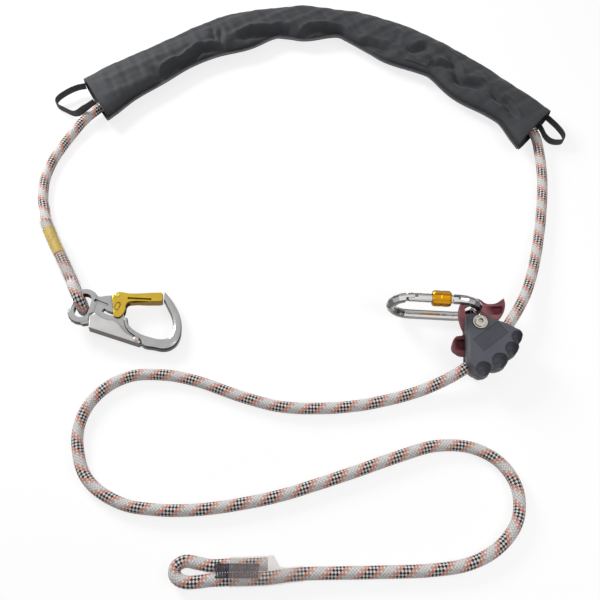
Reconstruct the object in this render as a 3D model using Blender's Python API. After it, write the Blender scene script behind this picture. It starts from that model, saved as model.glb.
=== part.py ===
"""Tree climbing lanyard, laid out on a flat surface.

A braided rope with a sewn eye at each end runs through a fabric sleeve and through a cam
adjuster. A double action hook hangs in one eye, and a screw gate karabiner in the cam.
Units are metres and +Z is up. The origin is on the surface, under the middle of the box that
the sleeve, the hook and the adjuster fill. +X runs along the sleeve, from the hook's side to
the adjuster's.
"""

import math

import bmesh
import bpy
import numpy as np
from mathutils import Matrix, Vector
from mathutils.geometry import interpolate_bezier

# General sizes
SEAT_GAP = 0.0003
CUT_OVERRUN = 0.002
TURNING_GAP = 0.0004
SHARP = True

# Rope
ROPE_DIAMETER = 0.0127
ROPE_POINT_SPACING = 0.037
ROPE_RADIUS = ROPE_DIAMETER / 2

# Rope route from the hook's splice to the adjuster: x, y, and the share of the rise from the
# surface to the middle of the adjuster
MAIN_ROUTE = (
    (-0.3255, -0.0580, 0.08),
    (-0.3300, -0.0430, 0.03),
    (-0.3325, -0.0120, 0.00),
    (-0.3265, 0.0200, 0.00),
    (-0.3125, 0.0530, 0.04),
    (-0.2940, 0.0840, 0.22),
    (-0.2760, 0.1040, 0.30),
    (-0.2480, 0.1330, 0.30),
    (-0.1950, 0.1800, 0.30),
    (-0.1360, 0.2190, 0.30),
    (-0.0925, 0.2370, 0.30),
    (-0.0470, 0.2520, 0.30),
    (0.0000, 0.2545, 0.30),
    (0.0460, 0.2520, 0.30),
    (0.1095, 0.2235, 0.30),
    (0.1500, 0.1995, 0.30),
    (0.1900, 0.1740, 0.30),
    (0.2240, 0.1400, 0.30),
    (0.2600, 0.1090, 0.30),
    (0.2850, 0.0810, 0.30),
    (0.2990, 0.0590, 0.30),
    (0.3020, 0.0300, 0.15),
    (0.3005, -0.0100, 0.00),
    (0.2925, -0.0580, 0.00),
    (0.2820, -0.1020, 0.04),
    (0.2705, -0.1400, 0.17),
    (0.2570, -0.1740, 0.46),
    (0.2440, -0.1975, 0.80),
    (0.2310, -0.2170, 1.00),
    (0.2158, -0.2375, 1.00),
    (0.2080, -0.2468, 1.00),
)

# Rope route from the middle of the adjuster to the sewn end, with the same shares
TAIL_ROUTE = (
    (0.1980, -0.2570, 1.00),
    (0.1745, -0.2745, 1.00),
    (0.1540, -0.2860, 0.70),
    (0.1300, -0.2955, 0.26),
    (0.1015, -0.3040, 0.03),
    (0.0575, -0.3135, 0.00),
    (0.0135, -0.3170, 0.00),
    (-0.0300, -0.3148, 0.00),
    (-0.0735, -0.3030, 0.00),
    (-0.1185, -0.2865, 0.00),
    (-0.1550, -0.2785, 0.00),
    (-0.1965, -0.2800, 0.00),
    (-0.2275, -0.2990, 0.00),
    (-0.2435, -0.3280, 0.00),
    (-0.2435, -0.3600, 0.00),
    (-0.2280, -0.3950, 0.00),
    (-0.1920, -0.4185, 0.00),
    (-0.1505, -0.4255, 0.00),
    (-0.1100, -0.4250, 0.00),
    (-0.0690, -0.4195, 0.00),
    (-0.0285, -0.4110, 0.00),
    (0.0125, -0.3985, 0.00),
    (0.0545, -0.3845, 0.00),
    (0.0975, -0.3695, 0.00),
    (0.1345, -0.3590, 0.00),
    (0.1720, -0.3603, 0.00),
    (0.2015, -0.3765, 0.00),
    (0.2160, -0.4040, 0.00),
    (0.2125, -0.4350, 0.00),
    (0.1915, -0.4610, 0.00),
    (0.1600, -0.4775, 0.00),
    (0.1200, -0.4838, 0.00),
    (0.0705, -0.4855, 0.00),
    (0.0310, -0.4863, 0.02),
    (0.0000, -0.4870, 0.10),
)

# Sewn end, seen flat: the rope turns back beside itself under a clear cover
END_EYE_ROUTE = (
    (-0.0200, -0.4886),
    (-0.0400, -0.4912),
    (-0.0600, -0.4920),
    (-0.0770, -0.4924),
    (-0.0950, -0.4940),
    (-0.1090, -0.4957),
    (-0.1205, -0.4948),
    (-0.1285, -0.4910),
    (-0.1312, -0.4850),
    (-0.1285, -0.4790),
    (-0.1205, -0.4755),
    (-0.1090, -0.4765),
    (-0.0950, -0.4785),
    (-0.0770, -0.4790),
    (-0.0560, -0.4788),
    (-0.0400, -0.4780),
)
STITCHING_LENGTH = 0.042
STITCHING_WIDTH = 0.0135
STITCHING_HEIGHT = 0.0012
STITCHING_RIDGES = 9
STITCHING_CENTRE = (-0.0665, -0.4853)
END_COVER_WALL = 0.0007
END_COVER_CLEARANCE = 0.0006
END_COVER_WIDTH_SHARES = (1.0, 1.0, 1.0, 1.0, 0.12, 0.0, 0.0)
END_COVER_DRIFT_SHARES = (0.10, -0.20, -0.033)
END_COVER_TIP_SHARE = 0.667

# Hook splice: the rope's end lies on top of the rope, under a clear cover
SPLICE_ROUTE = (
    (-0.3225, -0.0690),
    (-0.3165, -0.0840),
    (-0.3045, -0.1085),
    (-0.2905, -0.1340),
    (-0.2795, -0.1545),
    (-0.2738, -0.1655),
    (-0.2702, -0.1725),
    (-0.2670, -0.1790),
    (-0.2610, -0.1905),
)
SPLICE_END_POINT = 1
SPLICE_START_POINT = 5
EYE_OPEN_SHARES = (0.0, 0.0, 0.0, 0.0, 0.0, 0.0, 0.38, 0.92, 1.0)
EYE_TURN_DEGREES = (-60, -30, 0, 30, 60)
COVER_WALL = 0.0008
LABEL_THICKNESS = 0.0003
LABEL_LENGTH_SHARE = 0.45
LABEL_START_SHARE = 0.10
LABEL_WRAP_DEGREES = 150.0
LABEL_STEPS = 8
SPLICE_COVER_CLEARANCE = 0.0009

# Sleeve: x, y and half of its flat width at each station along it
SLEEVE_STATIONS = (
    (-0.2820, 0.1140, 0.0365),
    (-0.2520, 0.1425, 0.0330),
    (-0.2130, 0.1705, 0.0300),
    (-0.1755, 0.1980, 0.0270),
    (-0.1360, 0.2220, 0.0290),
    (-0.0925, 0.2400, 0.0325),
    (-0.0470, 0.2560, 0.0245),
    (-0.0245, 0.2575, 0.0270),
    (0.0000, 0.2565, 0.0300),
    (0.0460, 0.2560, 0.0215),
    (0.0690, 0.2490, 0.0255),
    (0.1095, 0.2265, 0.0320),
    (0.1305, 0.2135, 0.0345),
    (0.1720, 0.1905, 0.0300),
    (0.1900, 0.1775, 0.0285),
    (0.2240, 0.1425, 0.0340),
    (0.2600, 0.1120, 0.0300),
    (0.2790, 0.0935, 0.0300),
    (0.2990, 0.0620, 0.0355),
)
SLEEVE_WALL = 0.0014
LEFT_END_SKEW_DEGREES = -12.5
RIGHT_END_SKEW_DEGREES = 17.0
SKEWED_RINGS = 5
SLEEVE_HEIGHT = 0.0260
SLEEVE_RINGS = 51
SLEEVE_RING_POINTS = 12
SLEEVE_END_RINGS = 3
FOLD_DEPTH_SHARE = 0.17
FOLD_COUNTS = (15, 23)
FOLD_SLANTS = (2.0, -1.2)
FLANK_SHARE = 0.85
CROWN_SHARE = 0.75
HEM_WIDTH = 0.0110
HEM_THICKNESS = 0.0009
SEAM_WIDTH = 0.0060
SEAM_THICKNESS = 0.0022
SEAM_HEIGHT_SHARE = 0.50
SEAM_INSET_RINGS = 2
TAG_LENGTH = 0.034
TAG_WIDTH = 0.0092
TAG_THICKNESS = 0.0006
TAG_LOW_INDEX = 1
TAG_HIGH_INDEX = 2
TAG_PLACE_SHARE = 0.725
TAG_STEPS = 5
WEBBING_WIDTH = 0.0100
WEBBING_THICKNESS = 0.0014
LEFT_LOOP_ROUTE = (
    (-0.2990, 0.1400, 0.0130),
    (-0.3100, 0.1370, 0.0130),
    (-0.3240, 0.1290, 0.0120),
    (-0.3350, 0.1190, 0.0100),
    (-0.3350, 0.1110, 0.0085),
    (-0.3240, 0.1030, 0.0080),
    (-0.3080, 0.0950, 0.0090),
    (-0.2900, 0.0930, 0.0235),
    (-0.2780, 0.0985, 0.0285),
)
RIGHT_LOOP_ROUTE = (
    (0.3150, 0.0900, 0.0130),
    (0.3220, 0.0810, 0.0130),
    (0.3310, 0.0690, 0.0120),
    (0.3375, 0.0570, 0.0100),
    (0.3355, 0.0490, 0.0085),
    (0.3270, 0.0470, 0.0085),
    (0.3190, 0.0490, 0.0090),
)

# Hook, lying flat, with its far end on the surface and its eye raised by the rope under it
HOOK_LENGTH = 0.128
HOOK_EYE_AXIS = (-0.2552, -0.2032)
HOOK_EYE_DROP = 0.0007
HOOK_REST_SHARE = 0.85
ROPE_IN_EYE_SHARES = (-0.009, -0.005)
HOOK_PLATE_THICKNESS = 0.0072
HOOK_BAR_THICKNESS = 0.0126
HOOK_BAR_ROUNDING_SHARE = 0.0266
HOOK_RING_THICKNESS = 0.0095
HOOK_RING_WIDTH = 0.0070
HOOK_RING_ROUNDING_SHARE = 0.42
HOOK_EYE_SLOT_SHARE = 0.115
HOOK_EYE_TILT_DEGREES = -10.0
HOOK_EYE_CENTRE_SHARES = (-0.012, 0.022)
EYE_STEPS = 9
HOOK_CHEEK_THICKNESS = 0.0023
HOOK_RIVET_DIAMETER = 0.0038
HOOK_RIVET_HEAD_DIAMETER = 0.0058
HOOK_RIVET_CROWN_SHARE = 0.7
HOOK_RIVET_HEAD_HEIGHT = 0.0007
HOOK_EDGE_ROUNDING = 0.0010
EYE_CLEARANCE = 0.0016
EYE_RISE_CLEARANCE = 0.0021
HOOK_PLATE_SHARES = (
    (-0.016, -0.150), (0.070, -0.152), (0.219, -0.199), (0.375, -0.258), (0.469, -0.291),
    (0.547, -0.289), (0.484, -0.219), (0.406, -0.156), (0.366, -0.077), (0.345, -0.018),
    (0.333, 0.035), (0.347, 0.082), (0.334, 0.133), (0.293, 0.170), (0.242, 0.145),
    (0.177, 0.134), (0.117, 0.123), (0.055, 0.150),
)
HOOK_BAR_SHARES = (
    (0.372, -0.074), (0.408, -0.148), (0.498, -0.217), (0.607, -0.255), (0.711, -0.269),
    (0.758, -0.250), (0.786, -0.195), (0.791, -0.117), (0.767, -0.029),
    (0.732, 0.040), (0.695, 0.108), (0.655, 0.165), (0.615, 0.205), (0.592, 0.250),
    (0.610, 0.290), (0.655, 0.255), (0.700, 0.198), (0.750, 0.140), (0.797, 0.071),
    (0.853, -0.051), (0.871, -0.160), (0.858, -0.270),
    (0.812, -0.338), (0.741, -0.370), (0.648, -0.361), (0.536, -0.333), (0.522, -0.298),
    (0.467, -0.259), (0.403, -0.209), (0.370, -0.152),
)
HOOK_NOSE_LOW_SHARES = (0.560, 0.090)
HOOK_NOSE_HIGH_SHARES = (0.694, 0.330)
HOOK_GATE_SHARES = (
    (0.242, 0.143), (0.284, 0.169), (0.375, 0.161), (0.453, 0.164), (0.562, 0.177),
    (0.666, 0.186, SHARP), (0.682, 0.169, SHARP), (0.684, 0.105, SHARP), (0.661, 0.095, SHARP),
    (0.547, 0.087), (0.422, 0.081), (0.373, 0.064), (0.362, -0.009), (0.336, -0.066),
    (0.317, -0.083), (0.287, -0.083), (0.266, -0.062), (0.258, 0.000), (0.240, 0.078),
)
HOOK_LEVER_SHARES = (
    (0.059, -0.094, SHARP), (0.106, -0.050, SHARP), (0.145, -0.081), (0.187, -0.102),
    (0.230, -0.116), (0.273, -0.120), (0.308, -0.138), (0.384, -0.222), (0.445, -0.261),
    (0.505, -0.294), (0.528, -0.312), (0.512, -0.330, SHARP), (0.067, -0.197, SHARP),
)
LEVER_RELIEF_SHARES = (
    (0.045, -0.260), (0.200, -0.260), (0.200, 0.000), (0.125, -0.012), (0.052, -0.062),
)
HOOK_GATE_PIVOT_SHARES = (0.277, 0.137)
HOOK_LEVER_PIVOT_SHARES = (0.487, -0.290)
GATE_PIN_RADIUS_SHARE = 0.184
GATE_PIN_REST_DEGREES = -88.0
GATE_PIN_TRAVEL_DEGREES = 34.0
GATE_PIN_REACH_SHARE = 0.55
GATE_OVAL_SHARES = ((0.285, 0.008), (0.299, 0.042))
GATE_OVAL_WIDTH = 0.0062
GATE_OVAL_GROOVE = 0.0012
GATE_OVAL_DEPTH = 0.0005
GATE_SLOT_END_SHARE = 0.396
GATE_POCKET_SHARES = ((0.372, 0.098), (0.583, 0.098), (0.583, 0.118), (0.372, 0.118))
GATE_POCKET_DEPTH = 0.0018
LEVER_WEB = 0.0018
PLATE_SLOT_SHARES = ((0.095, 0.075), (0.193, 0.039))
PLATE_SLOT_WIDTH = 0.0040
PLATE_SLOT_DEPTH = 0.0012

# Adjuster: two moulded shells around the rope and the cam
SHELL_SIZE = 0.070
ADJUSTER_AXIS = (0.1904, -0.2286)
ADJUSTER_HALF_THICKNESS = 0.0195
SHELL_ROUNDING = 0.0030
SHELL_JOINT_GAP = 0.0003
ROPE_CHANNEL_CLEARANCE = 0.0006
SHELL_TOP_EDGE_SHARES = (
    (-0.180, 0.160), (0.009, 0.141), (0.243, 0.066), (0.338, 0.030), (0.440, -0.008),
)
SHELL_LOBE_SHARES = ((0.540, -0.205), (0.455, -0.395), (0.262, -0.600), (-0.006, -0.732))
SHELL_LOBE_RADIUS_SHARE = 0.117
SHELL_LOBE_OUTWARD_DEGREES = (16.0, -17.0, -47.0, -84.0)
SHELL_LOBE_SWEEP_DEGREES = 124.0
SHELL_NOTCH_SHARE = 0.92
SHELL_END_SHARES = (
    (-0.142, -0.785), (-0.204, -0.718), (-0.254, -0.637), (-0.237, -0.429), (-0.220, -0.200),
    (-0.203, 0.029),
)
SCOOP_SHARES = (
    (0.566, -0.252, 0.110), (0.458, -0.455, 0.124), (0.245, -0.660, 0.140), (-0.022, -0.795, 0.132),
)
SCOOP_DEPTH_SHARE = 0.165
SCOOP_STEPS = 4
SHELL_BACK_CENTRE_SHARES = (0.05, -0.12)
SHELL_BACK_SHARES = ((0.0, 1.0), (0.3, 0.975), (0.6, 0.935), (0.87, 0.90), (1.0, 0.87))
SHELL_BACK_SPACING = 0.0032
PANEL_CENTRE_SHARES = (0.139, -0.241)
PANEL_SIZE_SHARES = (0.520, 0.245)
PANEL_TILT_DEGREES = 37.2
PANEL_DEPTH = 0.0006
SHELL_SCREW_WALL = 0.0015
SHELL_SCREW_SHARE = 0.5
SHELL_SCREW_DIAMETER = 0.0036
SHELL_SCREW_HEAD_DIAMETER = 0.0064
SHELL_SCREW_HEAD_HEIGHT = 0.0022
SHELL_SCREW_DEPTH = 0.0270

# Cam, its bush and its bolt
CAM_THICKNESS = 0.0066
CAM_EDGE_ROUNDING = 0.0012
CAM_SHARES = (
    (-0.227, 0.439), (-0.270, 0.233), (-0.251, 0.057), (-0.223, -0.104), (-0.280, -0.123),
    (-0.351, -0.140), (-0.414, -0.239), (-0.433, -0.361), (-0.379, -0.423), (-0.294, -0.466),
    (-0.200, -0.443), (-0.100, -0.357), (0.029, -0.280), (0.143, -0.206), (0.194, -0.129),
    (0.214, -0.029), (0.280, 0.078), (0.424, 0.225), (0.484, 0.337), (0.510, 0.464),
    (0.500, 0.551, SHARP), (0.449, 0.517), (0.373, 0.464), (0.256, 0.444), (0.189, 0.457),
    (0.104, 0.530), (-0.020, 0.551), (-0.150, 0.523),
)
CAM_HORN_POCKET_SHARES = ((0.270, 0.385), (0.440, 0.385), (0.420, 0.290), (0.330, 0.245))
CAM_FOOT_POCKET_SHARES = ((-0.345, -0.210), (-0.235, -0.200), (-0.225, -0.380), (-0.350, -0.330))
CAM_POCKET_DEPTH = 0.0012
CAM_EYE_SHARES = (-0.032, 0.306)
CAM_EYE_CLEARANCE = 0.0038
BOLT_DIAMETER = 0.0070
BOLT_HEAD_DIAMETER = 0.0122
BOLT_HEAD_HEIGHT = 0.0026
BOLT_CROWN_SHARE = 0.80
BOLT_SOCKET_DIAMETER = 0.0060
BOLT_SOCKET_DEPTH = 0.0019
WASHER_DIAMETER = 0.0160
WASHER_THICKNESS = 0.0011
NUT_WIDTH = 0.0110
NUT_HEIGHT = 0.0050
BUSH_WALL = 0.0016

# Karabiner: an oval of round bar on edge, its spine on the surface, its end in the cam's eye
KARABINER_LENGTH = 0.108
KARABINER_WIDTH = 0.058
KARABINER_BAR = 0.0110
KARABINER_YAW_DEGREES = -3.4
KARABINER_LEAN_DEGREES = 3.5
BEND_STEPS = 10
GATE_BAR = 0.0098
HINGE_SETBACK = 0.0036
HINGE_TONGUE = 0.0038
HINGE_PIN_DIAMETER = 0.0034
HINGE_END_RADIUS = 0.0046
NOSE_SETBACK = 0.0076
NOSE_GAP = 0.0007
LATCH_TONGUE = 0.0028
LATCH_TONGUE_HEIGHT_SHARE = 0.7
LATCH_TONGUE_LENGTH = 0.0060
LATCH_PIN_DIAMETER = 0.0028
LATCH_PIN_LENGTH = 0.0080
LATCH_CLEARANCE = 0.0005
HINGE_CHAMFER_SHARE = 0.6
SCREW_NUT_DIAMETER = 0.0178
SCREW_NUT_LENGTH_SHARE = 0.445
SCREW_NUT_START_SHARE = 0.498
SCREW_NUT_FLUTES = 12
SCREW_NUT_PROFILE_SHARES = (
    (0.0, 0.86), (0.10, 1.0), (0.42, 1.0), (0.5, 0.96), (0.58, 1.0), (0.90, 1.0), (1.0, 0.86),
)
FLUTE_DEPTH_SHARE = 0.035
GATE_BAND_DIAMETER = 0.0104
GATE_BAND_WIDTH = 0.0016
GATE_BAND_START_SHARES = (0.20, 0.37)


def new_material(name, colour, roughness, metallic):
    material = bpy.data.materials.new(name)
    material.use_nodes = True
    surface = material.node_tree.nodes["Principled BSDF"]
    surface.inputs["Base Color"].default_value = (*colour, 1)
    surface.inputs["Roughness"].default_value = roughness
    surface.inputs["Metallic"].default_value = metallic
    material.diffuse_color = (*colour, 1)
    return material


def clear_scene():
    for obj in list(bpy.data.objects):
        bpy.data.objects.remove(obj, do_unlink=True)


def add_object(name, data, material=None, parent=None, location=(0, 0, 0)):
    obj = bpy.data.objects.new(name, data)
    bpy.context.scene.collection.objects.link(obj)
    obj.parent = parent
    obj.location = location
    if material:
        data.materials.append(material)
    return obj


def add_empty(name, location, rotation=(0, 0, 0), parent=None):
    obj = add_object(name, None, parent=parent, location=location)
    obj.rotation_euler = rotation
    return obj


def mesh_from(name, points, faces, smooth_degrees=40.0):
    mesh = bpy.data.meshes.new(name)
    mesh.from_pydata([tuple(p) for p in points], [], faces)
    tidy = bmesh.new()
    tidy.from_mesh(mesh)
    bmesh.ops.recalc_face_normals(tidy, faces=tidy.faces)
    tidy.to_mesh(mesh)
    tidy.free()
    mesh.shade_smooth()
    mesh.set_sharp_from_angle(angle=math.radians(smooth_degrees))
    return mesh


def cut(obj, cutter):
    """Takes the cutter's shape out of the object. The cutter stays in the scene as a wire guide."""
    cutter.hide_render = True
    cutter.display_type = "WIRE"
    boolean = obj.modifiers.new(cutter.name, "BOOLEAN")
    boolean.operation = "DIFFERENCE"
    boolean.object = cutter
    return obj


def join(obj, other):
    """Fuses the other shape into the object."""
    other.hide_render = True
    other.display_type = "WIRE"
    boolean = obj.modifiers.new(other.name, "BOOLEAN")
    boolean.operation = "UNION"
    boolean.object = other
    return obj


def sized(shares, size):
    """Outline points in metres from shares of one size. A third item marks a sharp corner."""
    return [(p[0] * size, p[1] * size, *p[2:]) for p in shares]


def arc_points(centre, radius, start_degrees, sweep_degrees, steps):
    angles = [math.radians(start_degrees + sweep_degrees * i / steps) for i in range(steps + 1)]
    return [(centre[0] + radius * math.cos(a), centre[1] + radius * math.sin(a)) for a in angles]


def circle_points(centre, radius, count=12):
    return arc_points(centre, radius, 0, 360 * (count - 1) / count, count - 1)


def slot_points(start, end, width, steps=5):
    """A slot with round ends between two points."""
    heading = math.degrees(math.atan2(end[1] - start[1], end[0] - start[0]))
    far = arc_points(end, width / 2, heading - 90, 180, steps)
    near = arc_points(start, width / 2, heading + 90, 180, steps)
    return [(*p, SHARP) for p in far + near]


def slab(name, outline, thickness, rounding, holes=(), resolution=3, smooth_degrees=40.0):
    """A flat mesh of this outline about z = 0, its long edges rounded. Holes are round-edged too."""
    curve = bpy.data.curves.new(name + "_outline", "CURVE")
    curve.dimensions = "2D"
    curve.fill_mode = "BOTH"
    curve.extrude = thickness / 2 - rounding
    curve.bevel_depth = rounding
    curve.bevel_resolution = 1
    curve.offset = -rounding
    curve.resolution_u = resolution
    for index, points in enumerate((outline, *holes)):
        area = sum(a[0] * b[1] - b[0] * a[1] for a, b in zip(points, points[1:] + points[:1]))
        ordered = points if (area > 0) == (index == 0) else points[::-1]
        spline = curve.splines.new("BEZIER")
        spline.bezier_points.add(len(ordered) - 1)
        spline.use_cyclic_u = True
        for knot, point in zip(spline.bezier_points, ordered):
            knot.co = (point[0], point[1], 0)
            handle = "VECTOR" if len(point) > 2 else "AUTO"
            knot.handle_left_type = knot.handle_right_type = handle
    guide = add_object(name + "_outline", curve)
    bpy.context.view_layer.update()
    graph = bpy.context.evaluated_depsgraph_get()
    mesh = bpy.data.meshes.new_from_object(guide.evaluated_get(graph))
    bpy.data.objects.remove(guide, do_unlink=True)
    tidy = bmesh.new()
    tidy.from_mesh(mesh)
    bmesh.ops.remove_doubles(tidy, verts=tidy.verts, dist=rounding / 1000 + thickness / 1e5)
    bmesh.ops.recalc_face_normals(tidy, faces=tidy.faces)
    tidy.to_mesh(mesh)
    tidy.free()
    mesh.name = name
    mesh.shade_smooth()
    mesh.set_sharp_from_angle(angle=math.radians(smooth_degrees))
    return mesh


def prism(name, outline, low, high):
    """A straight-sided cutter of this outline from one height to another."""
    count = len(outline)
    points = [(p[0], p[1], z) for z in (low, high) for p in outline]
    faces = [tuple(range(count - 1, -1, -1)), tuple(range(count, 2 * count))]
    faces += [(i, (i + 1) % count, count + (i + 1) % count, count + i) for i in range(count)]
    return mesh_from(name, points, faces)


def box(name, low, high):
    corners = [(low[0], low[1]), (high[0], low[1]), (high[0], high[1]), (low[0], high[1])]
    return prism(name, corners, low[2], high[2])


def turned(name, profile, sides=24):
    """A closed solid of revolution about z from (radius, z) points, from bottom to top.

    A profile whose first and last radius are zero is a solid, any other is a ring."""
    solid = profile[0][0] == 0 and profile[-1][0] == 0
    inner = profile[1:-1] if solid else profile
    points = []
    for radius, height in inner:
        points += [
            (radius * math.cos(math.tau * i / sides), radius * math.sin(math.tau * i / sides), height)
            for i in range(sides)
        ]
    rings = len(inner)
    faces = []
    for ring in range(rings - 1 if solid else rings):
        above = (ring + 1) % rings
        for i in range(sides):
            j = (i + 1) % sides
            faces.append((ring * sides + i, ring * sides + j, above * sides + j, above * sides + i))
    if solid:
        faces.append(tuple(range(sides - 1, -1, -1)))
        faces.append(tuple((rings - 1) * sides + i for i in range(sides)))
    return mesh_from(name, points, faces)


def smooth_route(route, spacing):
    """Points at an even spacing on a smooth curve through the route's points."""
    knots = [Vector(p) for p in route]
    dense = [knots[0]]
    for i in range(len(knots) - 1):
        before = knots[max(i - 1, 0)]
        start, end = knots[i], knots[i + 1]
        after = knots[min(i + 2, len(knots) - 1)]
        reach = (end - start).length / 3
        leave = (end - before).normalized() * reach
        arrive = (after - start).normalized() * reach
        dense += interpolate_bezier(start, start + leave, end - arrive, end, 24)[1:]
    lengths = np.cumsum([0.0] + [(b - a).length for a, b in zip(dense[:-1], dense[1:])])
    count = max(2, round(lengths[-1] / spacing) + 1)
    marks = np.linspace(0, lengths[-1], count)
    axes = [np.interp(marks, lengths, [p[k] for p in dense]) for k in range(3)]
    return [Vector(p) for p in zip(*axes)]


def cord(name, points, diameter, material, resolution=2):
    curve = bpy.data.curves.new(name, "CURVE")
    curve.dimensions = "3D"
    curve.bevel_depth = diameter / 2
    curve.bevel_resolution = resolution
    curve.use_fill_caps = True
    curve.twist_mode = "Z_UP"
    spline = curve.splines.new("POLY")
    spline.points.add(len(points) - 1)
    for knot, point in zip(spline.points, points):
        knot.co = (*point, 1)
    return add_object(name, curve, material)


def frames_along(points):
    """For each point of a route: its own side and up directions, square to the route."""
    found = []
    for i, point in enumerate(points):
        along = (points[min(i + 1, len(points) - 1)] - points[max(i - 1, 0)]).normalized()
        side = along.cross(Vector((0, 0, 1))).normalized()
        found.append((point, side, side.cross(along)))
    return found


def loft(name, rings, smooth_degrees=50.0):
    """A closed solid through rings of equally many points, with flat ends."""
    count = len(rings[0])
    points = [p for ring in rings for p in ring]
    faces = [tuple(range(count - 1, -1, -1))]
    faces.append(tuple((len(rings) - 1) * count + i for i in range(count)))
    for r in range(len(rings) - 1):
        for i in range(count):
            j = (i + 1) % count
            faces.append((r * count + i, r * count + j, (r + 1) * count + j, (r + 1) * count + i))
    return mesh_from(name, points, faces, smooth_degrees)


def open_tube(name, outer, inner, smooth_degrees=60.0):
    """A tube with a wall, open at both ends, from matching outer and inner rings."""
    count, length = len(outer[0]), len(outer)
    points = [p for ring in outer + inner for p in ring]
    inside = length * count
    faces = []
    for r in range(length - 1):
        for i in range(count):
            j = (i + 1) % count
            low, high = r * count, (r + 1) * count
            faces.append((low + i, low + j, high + j, high + i))
            faces.append((inside + low + i, inside + high + i, inside + high + j, inside + low + j))
    for r in (0, length - 1):
        for i in range(count):
            j = (i + 1) % count
            faces.append((r * count + i, r * count + j, inside + r * count + j, inside + r * count + i))
    return mesh_from(name, points, faces, smooth_degrees)


def stadium_ring(frame, radius, rise, count=16):
    """A ring of two half circles, round the route's point and round one that lies rise above it."""
    point, side, above = frame
    ring = []
    for i in range(count):
        angle = math.tau * (i + 0.5) / count
        lift = rise if math.sin(angle) > 0 else 0
        ring.append(point + side * (radius * math.cos(angle)) + above * (radius * math.sin(angle) + lift))
    return ring


def squared_ring(frame, half_width, up, down, count=16):
    """A ring with round sides and nearly flat top and bottom."""
    point, side, above = frame
    corner = min(half_width, up, down)
    ring = []
    for i in range(count):
        angle = math.tau * (i + 0.5) / count
        across, rise = math.cos(angle), math.sin(angle)
        sideways = math.copysign(half_width - corner, across) + corner * across
        height = math.copysign((up if rise > 0 else down) - corner, rise) + corner * rise
        ring.append(point + side * sideways + above * height)
    return ring


def round_ring(frame, radius, sides, turn=0.0):
    """A round ring about a route's point. A turn of 0.5 puts a flat, not a corner, at the side."""
    point, side, above = frame
    angles = [math.tau * (k + turn) / sides for k in range(sides)]
    return [point + side * (radius * math.cos(a)) + above * (radius * math.sin(a)) for a in angles]


def upright_bar(name, points, radius, sides=14):
    """A round bar along a route that stays in one upright plane."""
    rings = []
    for i, point in enumerate(points):
        along = (points[min(i + 1, len(points) - 1)] - points[max(i - 1, 0)]).normalized()
        side = Vector((0, 1, 0))
        rings.append(round_ring((point, side, side.cross(along)), radius, sides, 0.5))
    return loft(name, rings)


def lifted(route):
    rise = ADJUSTER_HALF_THICKNESS - ROPE_RADIUS
    return [Vector((x, y, ROPE_RADIUS + share * rise)) for x, y, share in route]


def flat(point, height=0.0):
    return Vector((point[0], point[1], height))


def heading(start, end):
    """The level direction from one point to another."""
    return (flat(end) - flat(start)).normalized()


def stubbed(points, start=None, end=None):
    """The points with a short straight piece at an end, so that ropes meet there face to face."""
    points = list(points)
    if start:
        points.insert(1, points[0] + start * ROPE_RADIUS)
    if end:
        points.insert(-1, points[-1] - end * ROPE_RADIUS)
    return points


def rope_points():
    """The points of the rope before and after the middle of the adjuster."""
    main, tail = lifted(MAIN_ROUTE), lifted(TAIL_ROUTE)
    at_splice = heading(SPLICE_ROUTE[0], main[1])
    at_middle = heading(main[-2], tail[0])
    at_end = heading(tail[-2], END_EYE_ROUTE[0])
    tail.insert(0, main[-1] + at_middle * SEAT_GAP)
    main = stubbed(smooth_route(main, ROPE_POINT_SPACING), at_splice, at_middle)
    tail = stubbed(smooth_route(tail, ROPE_POINT_SPACING), at_middle, at_end)
    for point in main + tail:
        point.z = max(point.z, ROPE_RADIUS)
    return main, tail


def make_ropes(looks):
    main, tail = rope_points()
    cord("rope_main", main, ROPE_DIAMETER, looks["rope"])
    cord("rope_tail", tail, ROPE_DIAMETER, looks["rope"])


# Heights at the hook: its ring passes between the strands, which the cover raises beyond it
SPLICE_LOW = ROPE_RADIUS + COVER_WALL + SPLICE_COVER_CLEARANCE
EYE_TURN_RADIUS = (ROPE_DIAMETER + HOOK_RING_THICKNESS + 2 * EYE_RISE_CLEARANCE) / 2
EYE_MIDDLE = ROPE_RADIUS + EYE_TURN_RADIUS
STRAND_RISE = ROPE_DIAMETER + SEAT_GAP


def splice_strands():
    """The lower and the upper strand's points, from the splice's far end to the hook."""
    lower, upper = [], []
    top = EYE_MIDDLE + EYE_TURN_RADIUS
    for i, (point, share) in enumerate(zip(SPLICE_ROUTE, EYE_OPEN_SHARES)):
        low = SPLICE_LOW + (ROPE_RADIUS - SPLICE_LOW) * share
        high = SPLICE_LOW + STRAND_RISE + (top - SPLICE_LOW - STRAND_RISE) * share
        lower.append(flat(point, low))
        if i >= SPLICE_END_POINT:
            upper.append(flat(point, high))
    return lower, upper


def eye_turn(last):
    """The rope's turn inside the hook's ring, from its lower side to its upper side."""
    along = heading(last, HOOK_EYE_AXIS)
    centre = flat(HOOK_EYE_AXIS, EYE_MIDDLE) - along * EYE_TURN_RADIUS
    turn = []
    for degrees in EYE_TURN_DEGREES:
        angle = math.radians(degrees)
        rise = Vector((0, 0, EYE_TURN_RADIUS * math.sin(angle)))
        turn.append(centre + along * (EYE_TURN_RADIUS * math.cos(angle)) + rise)
    return turn


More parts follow.
